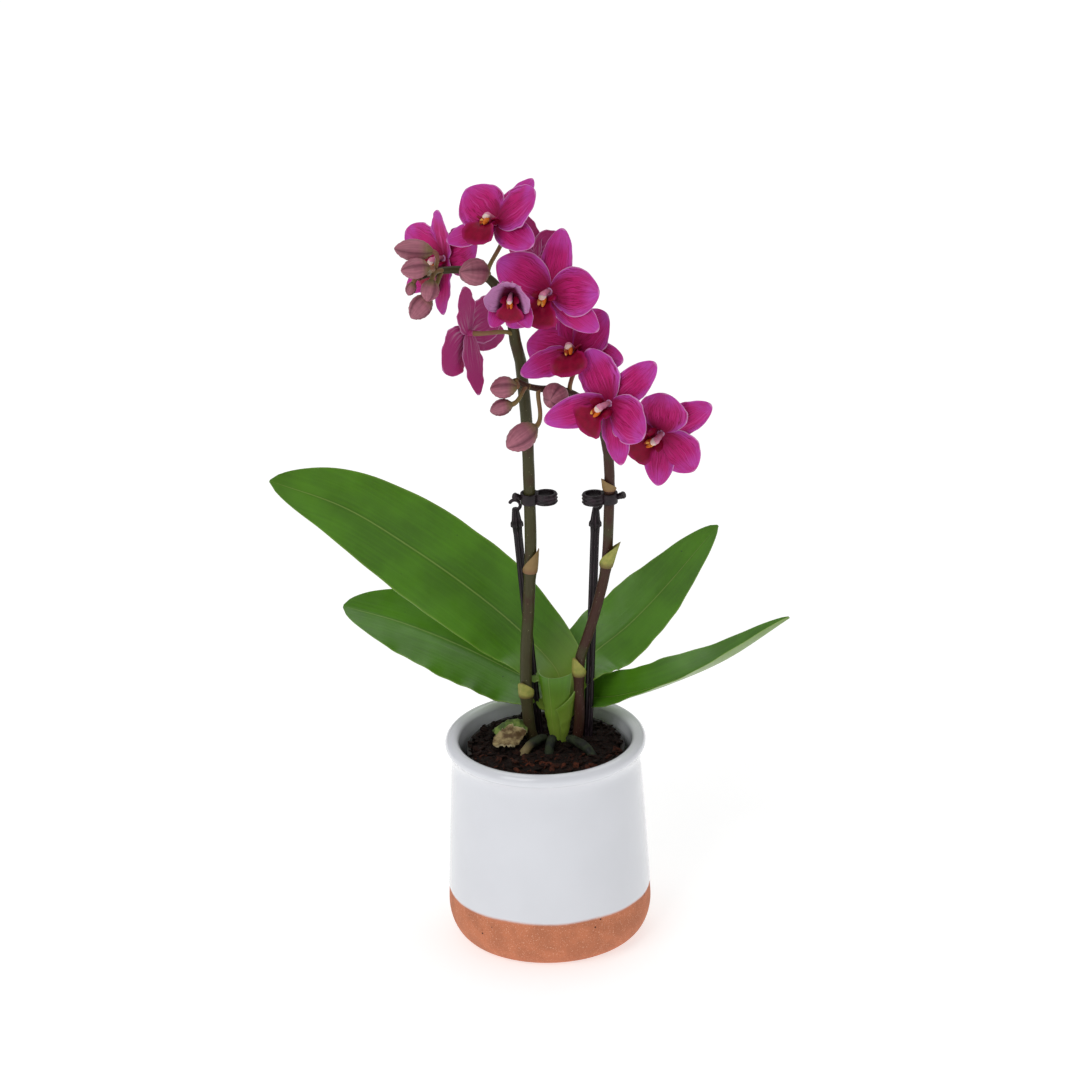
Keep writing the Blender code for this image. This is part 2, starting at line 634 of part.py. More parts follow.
TEPAL_FOOT = 0.05  # where a tepal starts inside the receptacle, as a share of its length
TEPAL_LIFT = 0.3 * MM  # petals lie this far in front of the middle and sepals this far behind it
SEPAL_FORM = (TEPAL_LENGTH, SEPAL_WIDTH, -TEPAL_LIFT, 0.55, 0.9)  # length, width, lift, fullness, widest
PETAL_FORM = (PETAL_LENGTH, PETAL_WIDTH, TEPAL_LIFT, 0.6, 1.0)
TEPAL_FORMS = (SEPAL_FORM, PETAL_FORM, SEPAL_FORM, SEPAL_FORM, PETAL_FORM)


def make_flower(name, flower, base):
    """Three sepals and two petals round a receptacle, then the lip and the column in front of them."""
    place = in_spray(base, flower.place)
    right, top, front = flower_frame(flower)
    size = flower.size

    def placed(bm):
        bmesh.ops.translate(bm, verts=bm.verts, vec=place)
        return bm

    receptacle = tube(
        [-front * (RECEPTACLE_DEPTH * size), -front * (0.4 * RECEPTACLE_DEPTH * size), front * RECEPTACLE_FACE],
        [PEDICEL_RADIUS, 0.8 * RECEPTACLE_RADIUS * size, RECEPTACLE_RADIUS * size],
        8,
    )
    tepals = [placed(sheet(tepal_rows(flower, tepal, *form))) for tepal, form in zip(flower.tepals, TEPAL_FORMS)]
    combined(f"{name}_petals", placed(receptacle), tepals, "UNION", PETAL_MAGENTA, "MANIFOLD")

    length = COLUMN_LENGTH * size
    foot = front * (RECEPTACLE_FACE + GAP) + top * (0.2 * COLUMN_RADIUS)
    curve = [foot + front * (length * t) - top * (0.22 * length * t * t) for t in (0, 0.3, 0.6, 0.85, 1.0)]
    radii = [COLUMN_RADIUS * size * r for r in (0.6, 0.8, 0.95, 1.1, 0.75)]
    new_object(f"{name}_column", placed(tube(curve, radii, 8)), COLUMN_WHITE)
    new_object(f"{name}_lip", placed(lip_solid(flower)), LIP_CRIMSON)


def lip_solid(flower):
    """The lip: a blade cupped at its claw, which leaves the column's foot forwards and then hangs."""
    right, top, front = flower_frame(flower)
    size = flower.size
    start = front * (RECEPTACLE_FACE + GAP + LIP_THICKNESS) - top * ((COLUMN_RADIUS + LIP_THICKNESS) * size + GAP)
    rows = []
    for i in range(6):
        share = i / 5
        reach = LIP_REACH * size * sin(0.5 * pi * min(1.6 * share, 1.0))
        place = start + front * reach - top * (LIP_DROP * size * share**1.4)
        half = 0.5 * LIP_WIDTH * size * (0.22 + 0.78 * sin(pi * min(share, 0.93) ** 1.3) ** 0.7)
        turn = radians(blend(75, 0, share))
        face = sin(turn) * top + cos(turn) * front
        cup = blend(0.7, 0.1, share)
        row = []
        for v in (-1, -0.5, 0, 0.5, 1):
            point = place + right * (v * half) + face * (cup * half * v * v)
            row.append((point + 0.5 * LIP_THICKNESS * face, point - 0.5 * LIP_THICKNESS * face))
        rows.append(row)
    return sheet(rows)


def make_bud(name, bud, base):
    back, axis = bud_back(bud, base)
    length, radius = bud.length * MM, 0.5 * bud.width * MM
    shares = (0.0, 0.08, 0.22, 0.45, 0.68, 0.86, 0.96, 1.0)
    girths = (0.30, 0.52, 0.82, 1.0, 0.93, 0.66, 0.35, 0.10)
    path = [back + axis * (length * share) for share in shares]
    new_object(name, tube(path, [radius * g for g in girths], 8), BUD_MAUVE)


# ---------------------------------------------------------------- stakes and clips

CLIP_LEVEL = 118.5  # millimetres above the mix


def stake_shape(angle):
    """The ribbed section: eight corners that stand out and in by turns."""
    return 1.0 if round(angle / (pi / 4)) % 2 == 0 else 0.72


def make_stake(name, foot, top, hook_side):
    """A ribbed stake with a collar, a tapered head and a small open hook; returns the line that it stands in."""
    foot, top = at(*foot), at(*top)
    along = (top - foot).normalized()
    buried = foot - along * SOCKET_DEPTH
    path = [buried + along * (rise * (top - buried).length) for rise in (0, 0.05, 0.5, 0.97)]
    path += [top + along * (rise * MM) for rise in (0, 2.0, 2.6, 9.0)]
    radii = [STAKE_RADIUS * r for r in (0.5, 1, 1, 1)]
    radii += [STAKE_COLLAR_RADIUS, STAKE_COLLAR_RADIUS, 0.78 * STAKE_COLLAR_RADIUS, 0.5 * STAKE_COLLAR_RADIUS]
    middle = top + along * (8.0 * MM + STAKE_HOOK_RADIUS)
    hook = []
    for turn in (-90, -40, 10, 60, 110, 160):
        across = Vector((hook_side * cos(radians(turn)), 0, 0))
        hook.append(middle + STAKE_HOOK_RADIUS * (across + sin(radians(turn)) * along))
    crook = tube(hook, [0.8 * MM] * len(hook), 6)
    combined(name, tube(path, radii, 8, stake_shape), [crook], "UNION", BLACK_PLASTIC)
    return [buried - along * MM, foot + along * 8 * MM]


def ring_solid(centre, radius, height, stretch=1.0, sides=16):
    """A short upright cylinder, stretched along X for the clips' loops."""
    bm = tube([centre - UP * (0.5 * height), centre + UP * (0.5 * height)], [radius] * 2, sides)
    for v in bm.verts:
        v.co.x = centre.x + (v.co.x - centre.x) * stretch
    return bm


def make_clip(name, path, stem_radius, loop_side, level):
    """A clip: a ring round the stem with an open finger loop on one side and a thumb tab on the other."""
    centre = point_at_height(path, MIX_TOP + level * MM)[0]
    bore = stem_radius + CLIP_CLEARANCE
    loop = centre + Vector((loop_side * (bore + CLIP_LOOP_RADIUS), -0.5 * MM, 0))
    tab = centre - Vector((loop_side * (bore + 0.5 * CLIP_WALL), 0, 0))
    tab_end = tab + Vector((-loop_side * CLIP_TAB, -1.5 * MM, 0.5 * CLIP_TAB))
    joined = [
        ring_solid(loop, CLIP_LOOP_RADIUS, CLIP_HEIGHT, CLIP_LOOP_STRETCH),
        tube([tab, tab_end], [1.2 * MM, 1.7 * MM], 6),
    ]
    body = combined(f"{name}_body", ring_solid(centre, bore + CLIP_WALL, CLIP_HEIGHT), joined, "UNION", None)
    bm = bmesh.new()
    bm.from_mesh(body.data)
    bpy.data.objects.remove(body)
    cuts = [
        ring_solid(centre, bore, 3 * CLIP_HEIGHT),
        ring_solid(loop, CLIP_LOOP_RADIUS - CLIP_WALL, 3 * CLIP_HEIGHT, CLIP_LOOP_STRETCH),
    ]
    combined(name, bm, cuts, "DIFFERENCE", BLACK_PLASTIC)


# ---------------------------------------------------------------- the whole plant


def main():
    for obj in list(bpy.data.objects):
        bpy.data.objects.remove(obj)

    make_pot()
    make_liner()

    left = make_spike(
        "spike_left", LEFT_STEM, LEFT_RISE, LEFT_ARCH, LEFT_SPRAY_BASE, LEFT_STEM_RADIUS, LEFT_FLOWERS,
        LEFT_BUDS,
    )
    right = make_spike(
        "spike_right", RIGHT_STEM, RIGHT_RISE, RIGHT_ARCH, RIGHT_SPRAY_BASE, RIGHT_STEM_RADIUS, RIGHT_FLOWERS,
        RIGHT_BUDS,
    )
    stakes = [
        make_stake("stake_left", (-2.9, 14.6, 1.0), (-9.8, 18.5, 101.0), 1),
        make_stake("stake_right", (19.2, 10.2, 1.0), (25.0, 17.5, 100.5), 1),
    ]
    sockets = [tube(path, [STAKE_RADIUS + SOCKET_GAP] * 2, 10) for path in stakes]
    sockets.append(sheath(SOCKET_GAP))
    sockets += [root(points, SOCKET_GAP) for points in ROOTS.values()]
    make_mix(sockets)

    new_object("stem_base", sheath(), SHEATH_GREEN)
    for name, points in ROOTS.items():
        new_object(name, root(points), ROOT_SKIN)
    for name, leaf in LEAVES.items():
        new_object(name, sheet(leaf_rows(leaf)), LEAF_GREEN)
    make_old_leaf()

    bracts = {
        "bract_left_low": wrapped_bract(left, 21.0, 8.0, -120, 0.1, LEFT_STEM_RADIUS),
        "bract_left_high": wrapped_bract(left, 82.0, 12.0, -20, 0.3, LEFT_STEM_RADIUS),
        "bract_right_low": wrapped_bract(right, 31.0, 9.0, -140, 0.2, RIGHT_STEM_RADIUS),
        "bract_right_high": wrapped_bract(right, 84.5, 13.0, -20, 2.6, RIGHT_STEM_RADIUS),
        "bract_right_top": wrapped_bract(right, 122.3, 6.0, -150, 0.6, RIGHT_STEM_RADIUS),
    }
    for name, solid in bracts.items():
        new_object(name, solid, BRACT_GREEN)

    make_clip("clip_left", left, LEFT_STEM_RADIUS, 1, CLIP_LEVEL)
    make_clip("clip_right", right, RIGHT_STEM_RADIUS, -1, CLIP_LEVEL)

    sprays = (
        ("left", LEFT_SPRAY_BASE, LEFT_FLOWERS, LEFT_BUDS),
        ("right", RIGHT_SPRAY_BASE, RIGHT_FLOWERS, RIGHT_BUDS),
    )
    for side, base, flowers, buds in sprays:
        for number, flower in enumerate(flowers, 1):
            make_flower(f"{side}_flower_{number}", flower, base)
        for number, bud in enumerate(buds, 1):
            make_bud(f"{side}_bud_{number}", bud, base)


main()
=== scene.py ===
"""A potted orchid's looks: the glazed cover pot, the bark in its thin pot, and the plant with its two flower
spikes. Each fine piece stands where its plain solid is. Everything is in metres, +Z up, the plant's face
looks along -Y; the places in the tables are in millimetres or in tepal lengths, as each one says."""

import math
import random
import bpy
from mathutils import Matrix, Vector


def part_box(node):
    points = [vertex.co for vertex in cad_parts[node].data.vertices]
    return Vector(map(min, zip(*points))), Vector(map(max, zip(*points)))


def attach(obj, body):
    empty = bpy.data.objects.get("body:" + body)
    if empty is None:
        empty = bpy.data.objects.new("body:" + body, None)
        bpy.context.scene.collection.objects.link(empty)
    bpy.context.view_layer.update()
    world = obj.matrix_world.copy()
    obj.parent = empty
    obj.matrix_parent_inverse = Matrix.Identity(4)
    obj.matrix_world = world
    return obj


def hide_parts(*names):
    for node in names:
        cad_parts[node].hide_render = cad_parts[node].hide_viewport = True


bl_info = {
    "name": "Potted Orchid",
    "version": (1, 0, 0),
    "blender": (4, 5, 0),
    "location": "View3D > Sidebar > Orchid",
    "description": "Builds the fine pieces and the finishes of a potted orchid on its solid model",
    "category": "Object",
}

from collections import namedtuple
from functools import partial
from math import cos, pi, radians, sin

import bmesh
import bpy
from bpy.props import FloatProperty, FloatVectorProperty, IntProperty, PointerProperty
from mathutils import Matrix, Vector, noise

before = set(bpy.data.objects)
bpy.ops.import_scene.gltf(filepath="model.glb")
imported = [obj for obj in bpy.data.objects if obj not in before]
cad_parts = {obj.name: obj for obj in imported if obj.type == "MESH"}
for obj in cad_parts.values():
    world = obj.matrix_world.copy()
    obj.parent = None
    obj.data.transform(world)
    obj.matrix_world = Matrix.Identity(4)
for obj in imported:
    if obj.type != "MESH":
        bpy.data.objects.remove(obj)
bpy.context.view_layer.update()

MM = 0.001
UP = Vector((0, 0, 1))
GAP = 0.3 * MM  # between pieces that touch

# ---- Sizes that the fine pieces share with their solids ----
POT_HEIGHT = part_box("pot")[1].z
POT_BELLY_RADIUS = 45.5 * MM
POT_FOOT_ROUND = 10.5 * MM
POT_BELLY_HEIGHT = 16.5 * MM
POT_TAPER = 2.9 * MM
POT_NECK_DROP = 16.5 * MM
POT_ROLL_RADIUS = 3.1 * MM
POT_ROLL_OUT = 2.3 * MM
POT_WALL = 4.4 * MM
POT_FLOOR = 6.5 * MM
LINER_RING = 3.3 * MM
LINER_WALL = 0.9 * MM
LINER_RIM_OUT = 1.1 * MM
LINER_RIM_HEIGHT = 2.6 * MM
LINER_STAND = 0.5 * MM
LINER_TAPER = 6.5 * MM
MIX_DROP = 6.5 * MM
MIX_TOP = POT_HEIGHT - MIX_DROP

SHEATH_WIDTH = 13.6 * MM
SHEATH_DEPTH = 8.4 * MM
SHEATH_HEIGHT = 33.0 * MM
LEAF_THICKNESS = 1.5 * MM
ROOT_RADIUS = 2.1 * MM
LEFT_STEM_RADIUS = 2.65 * MM
RIGHT_STEM_RADIUS = 2.35 * MM
SPIKE_TIP_RADIUS = 1.25 * MM
PEDICEL_RADIUS = 1.0 * MM
BRACT_THICKNESS = 0.5 * MM
BRACT_GAP = 0.45 * MM

TEPAL_LENGTH = 25.0 * MM
PETAL_LENGTH = 23.0 * MM
SEPAL_WIDTH = 14.5 * MM
PETAL_WIDTH = 22.0 * MM
RECEPTACLE_RADIUS = 1.7 * MM
RECEPTACLE_DEPTH = 3.6 * MM
RECEPTACLE_FACE = 0.9 * MM
COLUMN_RADIUS = 1.5 * MM
COLUMN_LENGTH = 8.0 * MM
LIP_REACH = 6.0 * MM
LIP_DROP = 13.5 * MM  # the fine lip is a little larger than its solid
LIP_WIDTH = 18.0 * MM
LIP_THICKNESS = 0.8 * MM
SIDE_LOBE_THICKNESS = 0.5 * MM

STAKE_RADIUS = 2.0 * MM
STAKE_COLLAR_RADIUS = 2.9 * MM
STAKE_HOOK_RADIUS = 2.4 * MM
SOCKET_DEPTH = 45.0 * MM
CLIP_HEIGHT = 5.0 * MM
CLIP_WALL = 1.1 * MM
CLIP_CLEARANCE = 0.4 * MM
CLIP_LOOP_RADIUS = 4.1 * MM
CLIP_LOOP_STRETCH = 1.25
CLIP_TAB = 3.5 * MM
CLIP_LEVEL = 118.5  # millimetres above the mix

Flower = namedtuple("Flower", "place facing roll joint size curl cup tepals stalk", defaults=(None,))
Bud = namedtuple("Bud", "place axis joint length width")
Leaf = namedtuple("Leaf", "spine width face_base face_tip fold_base fold_tip fullness widest")


def at(x, y, z):
    """A place in millimetres from the middle of the mix's surface."""
    return Vector((x * MM, y * MM, z * MM + MIX_TOP))


# ================================================================ tables of places

ROOTS = {
    "root_front": ((3.5, 0.5, 3.0), (2.8, -2.5, 5.0), (1.8, -5.5, 3.0), (1.0, -8.0, -2.5)),
    "root_left": ((-0.2, 4.0, 2.6), (-3.0, 0.5, 3.6), (-7.5, -3.5, 2.4), (-11.5, -6.5, -2.5)),
    "root_right": ((10.5, 3.0, 2.4), (13.0, -1.0, 3.4), (18.0, -6.0, 2.2), (22.0, -10.0, -2.5)),
}

LEAVES = {
    # The spine from inside the sheath to the tip, the full width, which way the upper face looks at the base
    # and at the tip, the fold there in degrees, and the powers that shape the outline: how full it is and
    # how far along it is widest.
    "leaf_upper_left": Leaf(
        (
            (6.0, 13.5, 19.0), (6.0, 18.5, 29.0), (-9.0, 31.0, 42.5), (-28.0, 33.0, 60.5),
            (-54.0, 35.0, 81.5), (-86.0, 34.0, 105.0), (-119.5, 28.0, 122.5),
        ),
        47.0, (0.32, -0.84, 0.44), (0.30, -0.62, 0.72), 10, 6, 0.62, 1.45,
    ),
    "leaf_lower_left": Leaf(
        (
            (4.6, 13.5, 12.0), (3.0, 20.0, 18.0), (-14.0, 33.0, 22.5), (-36.0, 41.0, 31.5),
            (-62.0, 47.0, 41.0), (-89.0, 49.0, 49.5),
        ),
        41.0, (0.15, -0.68, 0.72), (0.20, -0.50, 0.84), 12, 8, 0.55, 1.35,
    ),
    "leaf_upper_right": Leaf(
        (
            (9.0, 13.5, 17.0), (13.0, 19.5, 26.5), (24.0, 29.5, 33.0), (39.5, 34.0, 44.0), (58.0, 39.5, 61.5),
            (80.0, 45.0, 86.0),
        ),
        36.0, (-0.50, -0.74, 0.45), (-0.52, -0.50, 0.70), 8, 12, 0.62, 1.3,
    ),
    "leaf_lower_right": Leaf(
        (
            (9.6, 12.0, 10.0), (12.5, 15.5, 13.5), (21.0, 20.3, 14.0), (34.0, 13.2, 18.5), (54.0, 1.0, 29.5),
            (82.0, -5.0, 44.5), (110.0, -9.0, 65.5),
        ),
        23.0, (-0.10, -0.80, 0.60), (-0.40, 0.02, 0.92), 20, 48, 0.7, 1.45,
    ),
}

# Each stem comes up out of the mix beside the sheaths. Its rise and its arch follow in tepal lengths from the
# spray base, so larger flowers stand further apart.
LEFT_STEM = (
    (-5.0, 9.6, -3.0), (-6.6, 9.2, 4.0), (-7.4, 8.8, 12.0), (-8.0, 9.5, 23.6), (-7.4, 10.0, 44.3),
    (-5.8, 10.5, 63.9), (-4.1, 11.0, 93.0), (-3.9, 11.0, 118.0),
)
LEFT_RISE = ((0.085, 0.0, -2.2), (0.07, 0.0, -1.43), (0.0, 0.0, -0.37))
LEFT_ARCH = (
    (-0.08, 0.0, 0.0), (-0.13, -0.02, 0.41), (-0.25, -0.06, 0.86), (-0.47, -0.12, 1.26), (-0.75, -0.20, 1.48),
    (-1.04, -0.28, 1.57), (-1.33, -0.36, 1.60), (-1.55, -0.42, 1.57), (-1.71, -0.46, 1.54),
)
RIGHT_STEM = (
    (13.6, 9.4, -3.0), (15.0, 8.6, 5.0), (15.7, 8.0, 16.0), (15.7, 8.5, 26.0), (16.6, 9.0, 39.0),
    (20.6, 9.0, 51.3), (25.5, 9.0, 67.6),
)
RIGHT_RISE = ((-0.1, 0.0, -1.73), (-0.03, 0.0, -0.72), (0.0, 0.0, 0.0))
RIGHT_ARCH = (
    (-0.01, 0.0, 0.42), (-0.08, 0.0, 0.82), (-0.23, -0.02, 1.21), (-0.43, -0.06, 1.50), (-0.65, -0.12, 1.69),
    (-0.92, -0.18, 1.81), (-1.17, -0.24, 1.85), (-1.41, -0.28, 1.93), (-1.60, -0.32, 2.06),
)
RIGHT_SPRAY_BASE = at(-6.1, 9.0, 129.2) + 1.524 * TEPAL_LENGTH * Vector((1, 0, 0))
LEFT_SPRAY_BASE = at(-6.1, 11.0, 129.2) + 2.63 * TEPAL_LENGTH * UP

# A flower's place, its facing and roll in degrees, its joint on the arch, size, curl and cup, and the angle,
# tilt and length of each tepal: the upper sepal, a petal, two sepals, a petal.
LEFT_FLOWERS = (
    Flower(
        (-0.92, -0.28, 0.34), (-123, -7), 18, 0.02, 1.0, -8, -0.06,
        ((-5, -12, 1.06), (91, -2, 1.1), (144, -15, 1.13), (-134, -3, 1.1), (-96, -11, 1.05)),
    ),
    Flower(
        (0.55, -1.0, 1.43), (-23, 16), 4, 0.16, 1.0, -12, -0.1,
        ((5, -2, 1.16), (79, 4, 1.08), (120, -2, 1.13), (-138, 4, 1.03), (-69, 9, 1.17)),
    ),
    Flower(
        (-0.12, -1.4, 1.6), (-10, -5), 0, 0.1, 0.72, 30, 0.22,
        ((0, 45, 1.0), (72, 48, 1.0), (144, 30, 1.0), (-144, 30, 1.0), (-72, 48, 1.0)), (60, 40),
    ),
    Flower(
        (0.32, 0.44, 1.43), (150, 10), 20, 0.22, 0.8, -8, -0.06,
        ((0, 20, 1.0), (78, 18, 1.0), (140, 18, 1.0), (-140, 18, 1.0), (-78, 20, 1.0)),
    ),
    Flower(
        (-0.35, -0.52, 2.57), (-50, 50), -16, 0.38, 1.0, -10, -0.1,
        ((15, -4, 1.04), (57, 16, 1.12), (113, 1, 1.1), (-124, 9, 0.97), (-57, 13, 1.04)),
    ),
    Flower(
        (-1.29, 0.76, 1.33), (-56, 11), -2, 0.3, 0.95, -8, 0.05,
        ((7, 19, 1.05), (60, -3, 1.16), (143, 20, 1.18), (-140, 16, 1.1), (-76, 16, 1.1)),
    ),
)
RIGHT_FLOWERS = (
    Flower(
        (0.94, -0.44, 1.02), (-16, -4), 66, 0.08, 1.0, -8, -0.08,
        ((-11, -4, 1.11), (75, 2, 1.0), (122, 4, 1.07), (-140, 6, 1.05), (-56, 11, 1.03)),
    ),
    Flower(
        (0.04, -1.05, 1.91), (-36, 9), 35, 0.30, 1.0, -10, -0.1,
        ((9, -11, 1.18), (77, 9, 1.07), (126, 3, 1.13), (-147, 26, 1.25), (-68, 0, 1.13)),
    ),
    Flower(
        (-0.56, -0.2, 2.56), (-30, 45), -24, 0.48, 1.0, -8, -0.06,
        ((0, 8, 1.0), (68, 22, 1.04), (119, 8, 1.08), (-116, 22, 1.08), (-71, 4, 1.0)),
    ),
)
LEFT_BUDS = (
    Bud((-0.77, -0.76, 1.74), (-60, 20), 0.50, 14.5, 12.5),
    Bud((-1.57, -0.84, 1.44), (-30, -60), 0.72, 10.0, 8.5),
    Bud((-1.74, -0.76, 1.09), (-60, -35), 0.72, 13.0, 10.0),
    Bud((-1.81, -1.0, 1.95), (-75, 5), 0.86, 13.0, 9.5),
    Bud((-1.83, -0.68, 2.18), (-90, 10), 0.78, 17.0, 10.0),
    Bud((-1.90, -0.68, 1.41), (-60, -60), 1.0, 6.5, 5.0),
)
RIGHT_BUDS = (
    Bud((-0.93, -0.56, 1.86), (-20, 10), 0.62, 12.5, 11.5),
    Bud((-1.55, -0.84, 1.21), (-60, -20), 0.74, 16.5, 12.0),
    Bud((-1.89, -0.6, 1.68), (-80, -10), 0.86, 10.5, 7.5),
    Bud((-1.84, -0.52, 2.03), (-90, 0), 1.0, 12.0, 10.0),
)
SPRAYS = (
    ("left", LEFT_SPRAY_BASE, LEFT_FLOWERS, LEFT_BUDS),
    ("right", RIGHT_SPRAY_BASE, RIGHT_FLOWERS, RIGHT_BUDS),
)
BRACTS = {
    # side, height, length, turn, flare
    "bract_left_low": ("left", 21.0, 8.0, -120, 0.1),
    "bract_left_high": ("left", 82.0, 12.0, -20, 0.3),
    "bract_right_low": ("right", 31.0, 9.0, -140, 0.2),
    "bract_right_high": ("right", 84.5, 13.0, -20, 2.6),
    "bract_right_top": ("right", 122.3, 6.0, -150, 0.6),
}
DRY_BRACTS = ("bract_left_high", "bract_right_top")
STAKES = {
    "stake_left": ((-2.9, 14.6, 1.0), (-9.8, 18.5, 101.0)),
    "stake_right": ((19.2, 10.2, 1.0), (25.0, 17.5, 100.5)),
}

# ================================================================ colours and settings


def linear(code):
    """A colour written as sRGB hex, such as #B0267E, in the linear values that Blender keeps."""
    parts = (int(code[k : k + 2], 16) / 255 for k in (1, 3, 5))
    return tuple(c / 12.92 if c <= 0.04045 else ((c + 0.055) / 1.055) ** 2.4 for c in parts)


def colour_setting(name, description, code):
    return FloatVectorProperty(
        name=name, description=description, subtype="COLOR", size=3, min=0, max=1, default=linear(code)
    )


def length_setting(name, description, default):
    return FloatProperty(
        name=name, description=description, unit="LENGTH", min=0, precision=5, default=default
    )


def power_setting(name, description, default):
    return FloatProperty(name=name, description=description, unit="POWER", min=0, default=default)


class PotSettings(bpy.types.PropertyGroup):
    glaze: colour_setting("Glaze", "The glaze's colour", "#E4E6EC")
    clay: colour_setting("Clay", "The bare clay's colour below the glaze", "#CC7D59")
    glaze_line: length_setting("Glaze line", "Height of the glaze's lower edge", 23.6 * MM)
    glaze_depth: length_setting("Glaze depth", "How far the glaze stands out from the clay", 0.3 * MM)


class MixSettings(bpy.types.PropertyGroup):
    peat: colour_setting("Peat", "The dark fines between the bark pieces", "#0B0907")
    bark: colour_setting("Bark", "The lightest bark pieces", "#6A3420")
    chips: IntProperty(name="Chips", description="How many bark pieces lie on top", min=0, default=1100)
    chip_size: length_setting("Chip size", "Length of a middling bark piece", 2.8 * MM)


class LeafSettings(bpy.types.PropertyGroup):
    blade: colour_setting("Blade", "The upper face's green", "#4B7D12")
    back: colour_setting("Back", "The lower face's paler green", "#7F9A58")
    margin: colour_setting("Margin", "The thin light edge", "#86A544")
    base: colour_setting("Base", "The yellow-green of the sheaths", "#9DB048")
    vein_gap: length_setting("Vein gap", "Between two lengthwise veins", 1.2 * MM)
    wave: length_setting("Wave", "How far the margin waves up and down", 0.5 * MM)


class SpikeSettings(bpy.types.PropertyGroup):
    green: colour_setting("Green", "The stem's olive green", "#403D21")
    brown: colour_setting("Brown", "The purple brown that tints it", "#42261E")
    stalk: colour_setting("Stalk", "The flower stalks' yellow green", "#847645")
    bract: colour_setting("Bract", "The clasping scales", "#B0A956")


class FlowerSettings(bpy.types.PropertyGroup):
    petal: colour_setting("Petal", "The middle of a petal", "#C01F74")
    heart: colour_setting("Heart", "A petal's foot", "#920A44")
    tip: colour_setting("Tip", "A petal's paler outer third", "#C04CB8")
    edge: colour_setting("Edge", "The thin pale margin", "#DB9CCB")
    back: colour_setting("Back", "The duller back of a petal", "#B53A7E")
    lip: colour_setting("Lip", "The lip's deep crimson", "#86042E")
    callus: colour_setting("Callus", "The orange swelling at the lip's claw", "#DE7420")
    column: colour_setting("Column", "The column", "#D889A6")
    cap: colour_setting("Cap", "The pollen cap at the column's end", "#EBCFC6")
    thickness: length_setting("Thickness", "Of a petal at its midline", 0.7 * MM)
    wave: length_setting("Wave", "How far a petal's margin waves", 0.45 * MM)


class BudSettings(bpy.types.PropertyGroup):
    skin: colour_setting("Skin", "The bud's dusty mauve", "#AA6878")
    base: colour_setting("Base", "The olive green at its stalk", "#7A7442")
    seam: colour_setting("Seam", "The dark line where two sepals meet", "#5B2B3A")


class PlasticSettings(bpy.types.PropertyGroup):
    black: colour_setting("Black", "The stakes' and clips' plastic", "#1A1216")
    liner: colour_setting("Thin pot", "The thin pot's plastic", "#15120F")


class StageSettings(bpy.types.PropertyGroup):
    floor: colour_setting("Floor", "The plain pale floor", "#D0D0D0")
    daylight: FloatProperty(
        name="Daylight", description="Strength of the even light all round", min=0, default=0.38
    )
    key: power_setting("Key light", "Power of the large light at the front left", 19)
    fill: power_setting("Fill light", "Power of the large light at the right", 2)
    top: power_setting("Top light", "Power of the light overhead", 15)
    glint: power_setting("Glint", "Power of the small light that shows in the glaze", 1.2)


def settings(name):
    return getattr(bpy.context.scene, "orchid_" + name)


# ================================================================ curves and frames


def smooth(points, steps):
    """Points along a Catmull-Rom curve through the given ones, with steps stretches between each two."""
    ends = [2 * points[0] - points[1], *points, 2 * points[-1] - points[-2]]
    found = []
    for a, b, c, d in zip(ends, ends[1:], ends[2:], ends[3:]):
        for k in range(steps):
            t = k / steps
            bend = (2 * a - 5 * b + 4 * c - d) * t * t + (3 * b - a - 3 * c + d) * t**3
            found.append(0.5 * (2 * b + (c - a) * t + bend))
    return found + [points[-1].copy()]


def point_along(path, share):
    """The place and the direction at a share of the path's points."""
    place = share * (len(path) - 1)
    low = min(int(place), len(path) - 2)
    step = path[low + 1] - path[low]
    return path[low] + step * (place - low), step.normalized()


def point_at_height(path, height):
    """Where an upright path passes a height, and its direction there."""
    for a, b in zip(path, path[1:]):
        if a.z <= height <= b.z:
            return a.lerp(b, (height - a.z) / (b.z - a.z)), (b - a).normalized()
    return path[-1].copy(), (path[-1] - path[-2]).normalized()


def bezier(a, b, c, d, steps):
    return [
        a * (1 - t) ** 3 + 3 * b * t * (1 - t) ** 2 + 3 * c * t * t * (1 - t) + d * t**3
        for t in (k / steps for k in range(steps + 1))
    ]


def direction(azimuth, elevation):
    """A unit vector: azimuth 0 looks to the front (-Y) and turns towards +X, both in degrees."""
    level = cos(radians(elevation))
    return Vector((level * sin(radians(azimuth)), -level * cos(radians(azimuth)), sin(radians(elevation))))


def blend(a, b, share):
    return a + (b - a) * share


def eased(low, high, value):
    """0 below low, 1 above high, and a smooth rise between."""
    t = min(max((value - low) / (high - low), 0.0), 1.0)
    return t * t * (3 - 2 * t)


def along_table(table, share):
    """A value read between a table's (share, value) pairs, with eased steps."""
    for (a, low), (b, high) in zip(table, table[1:]):
        if share <= b:
            return blend(low, high, eased(a, b, share))
    return table[-1][1]


# ================================================================ meshes


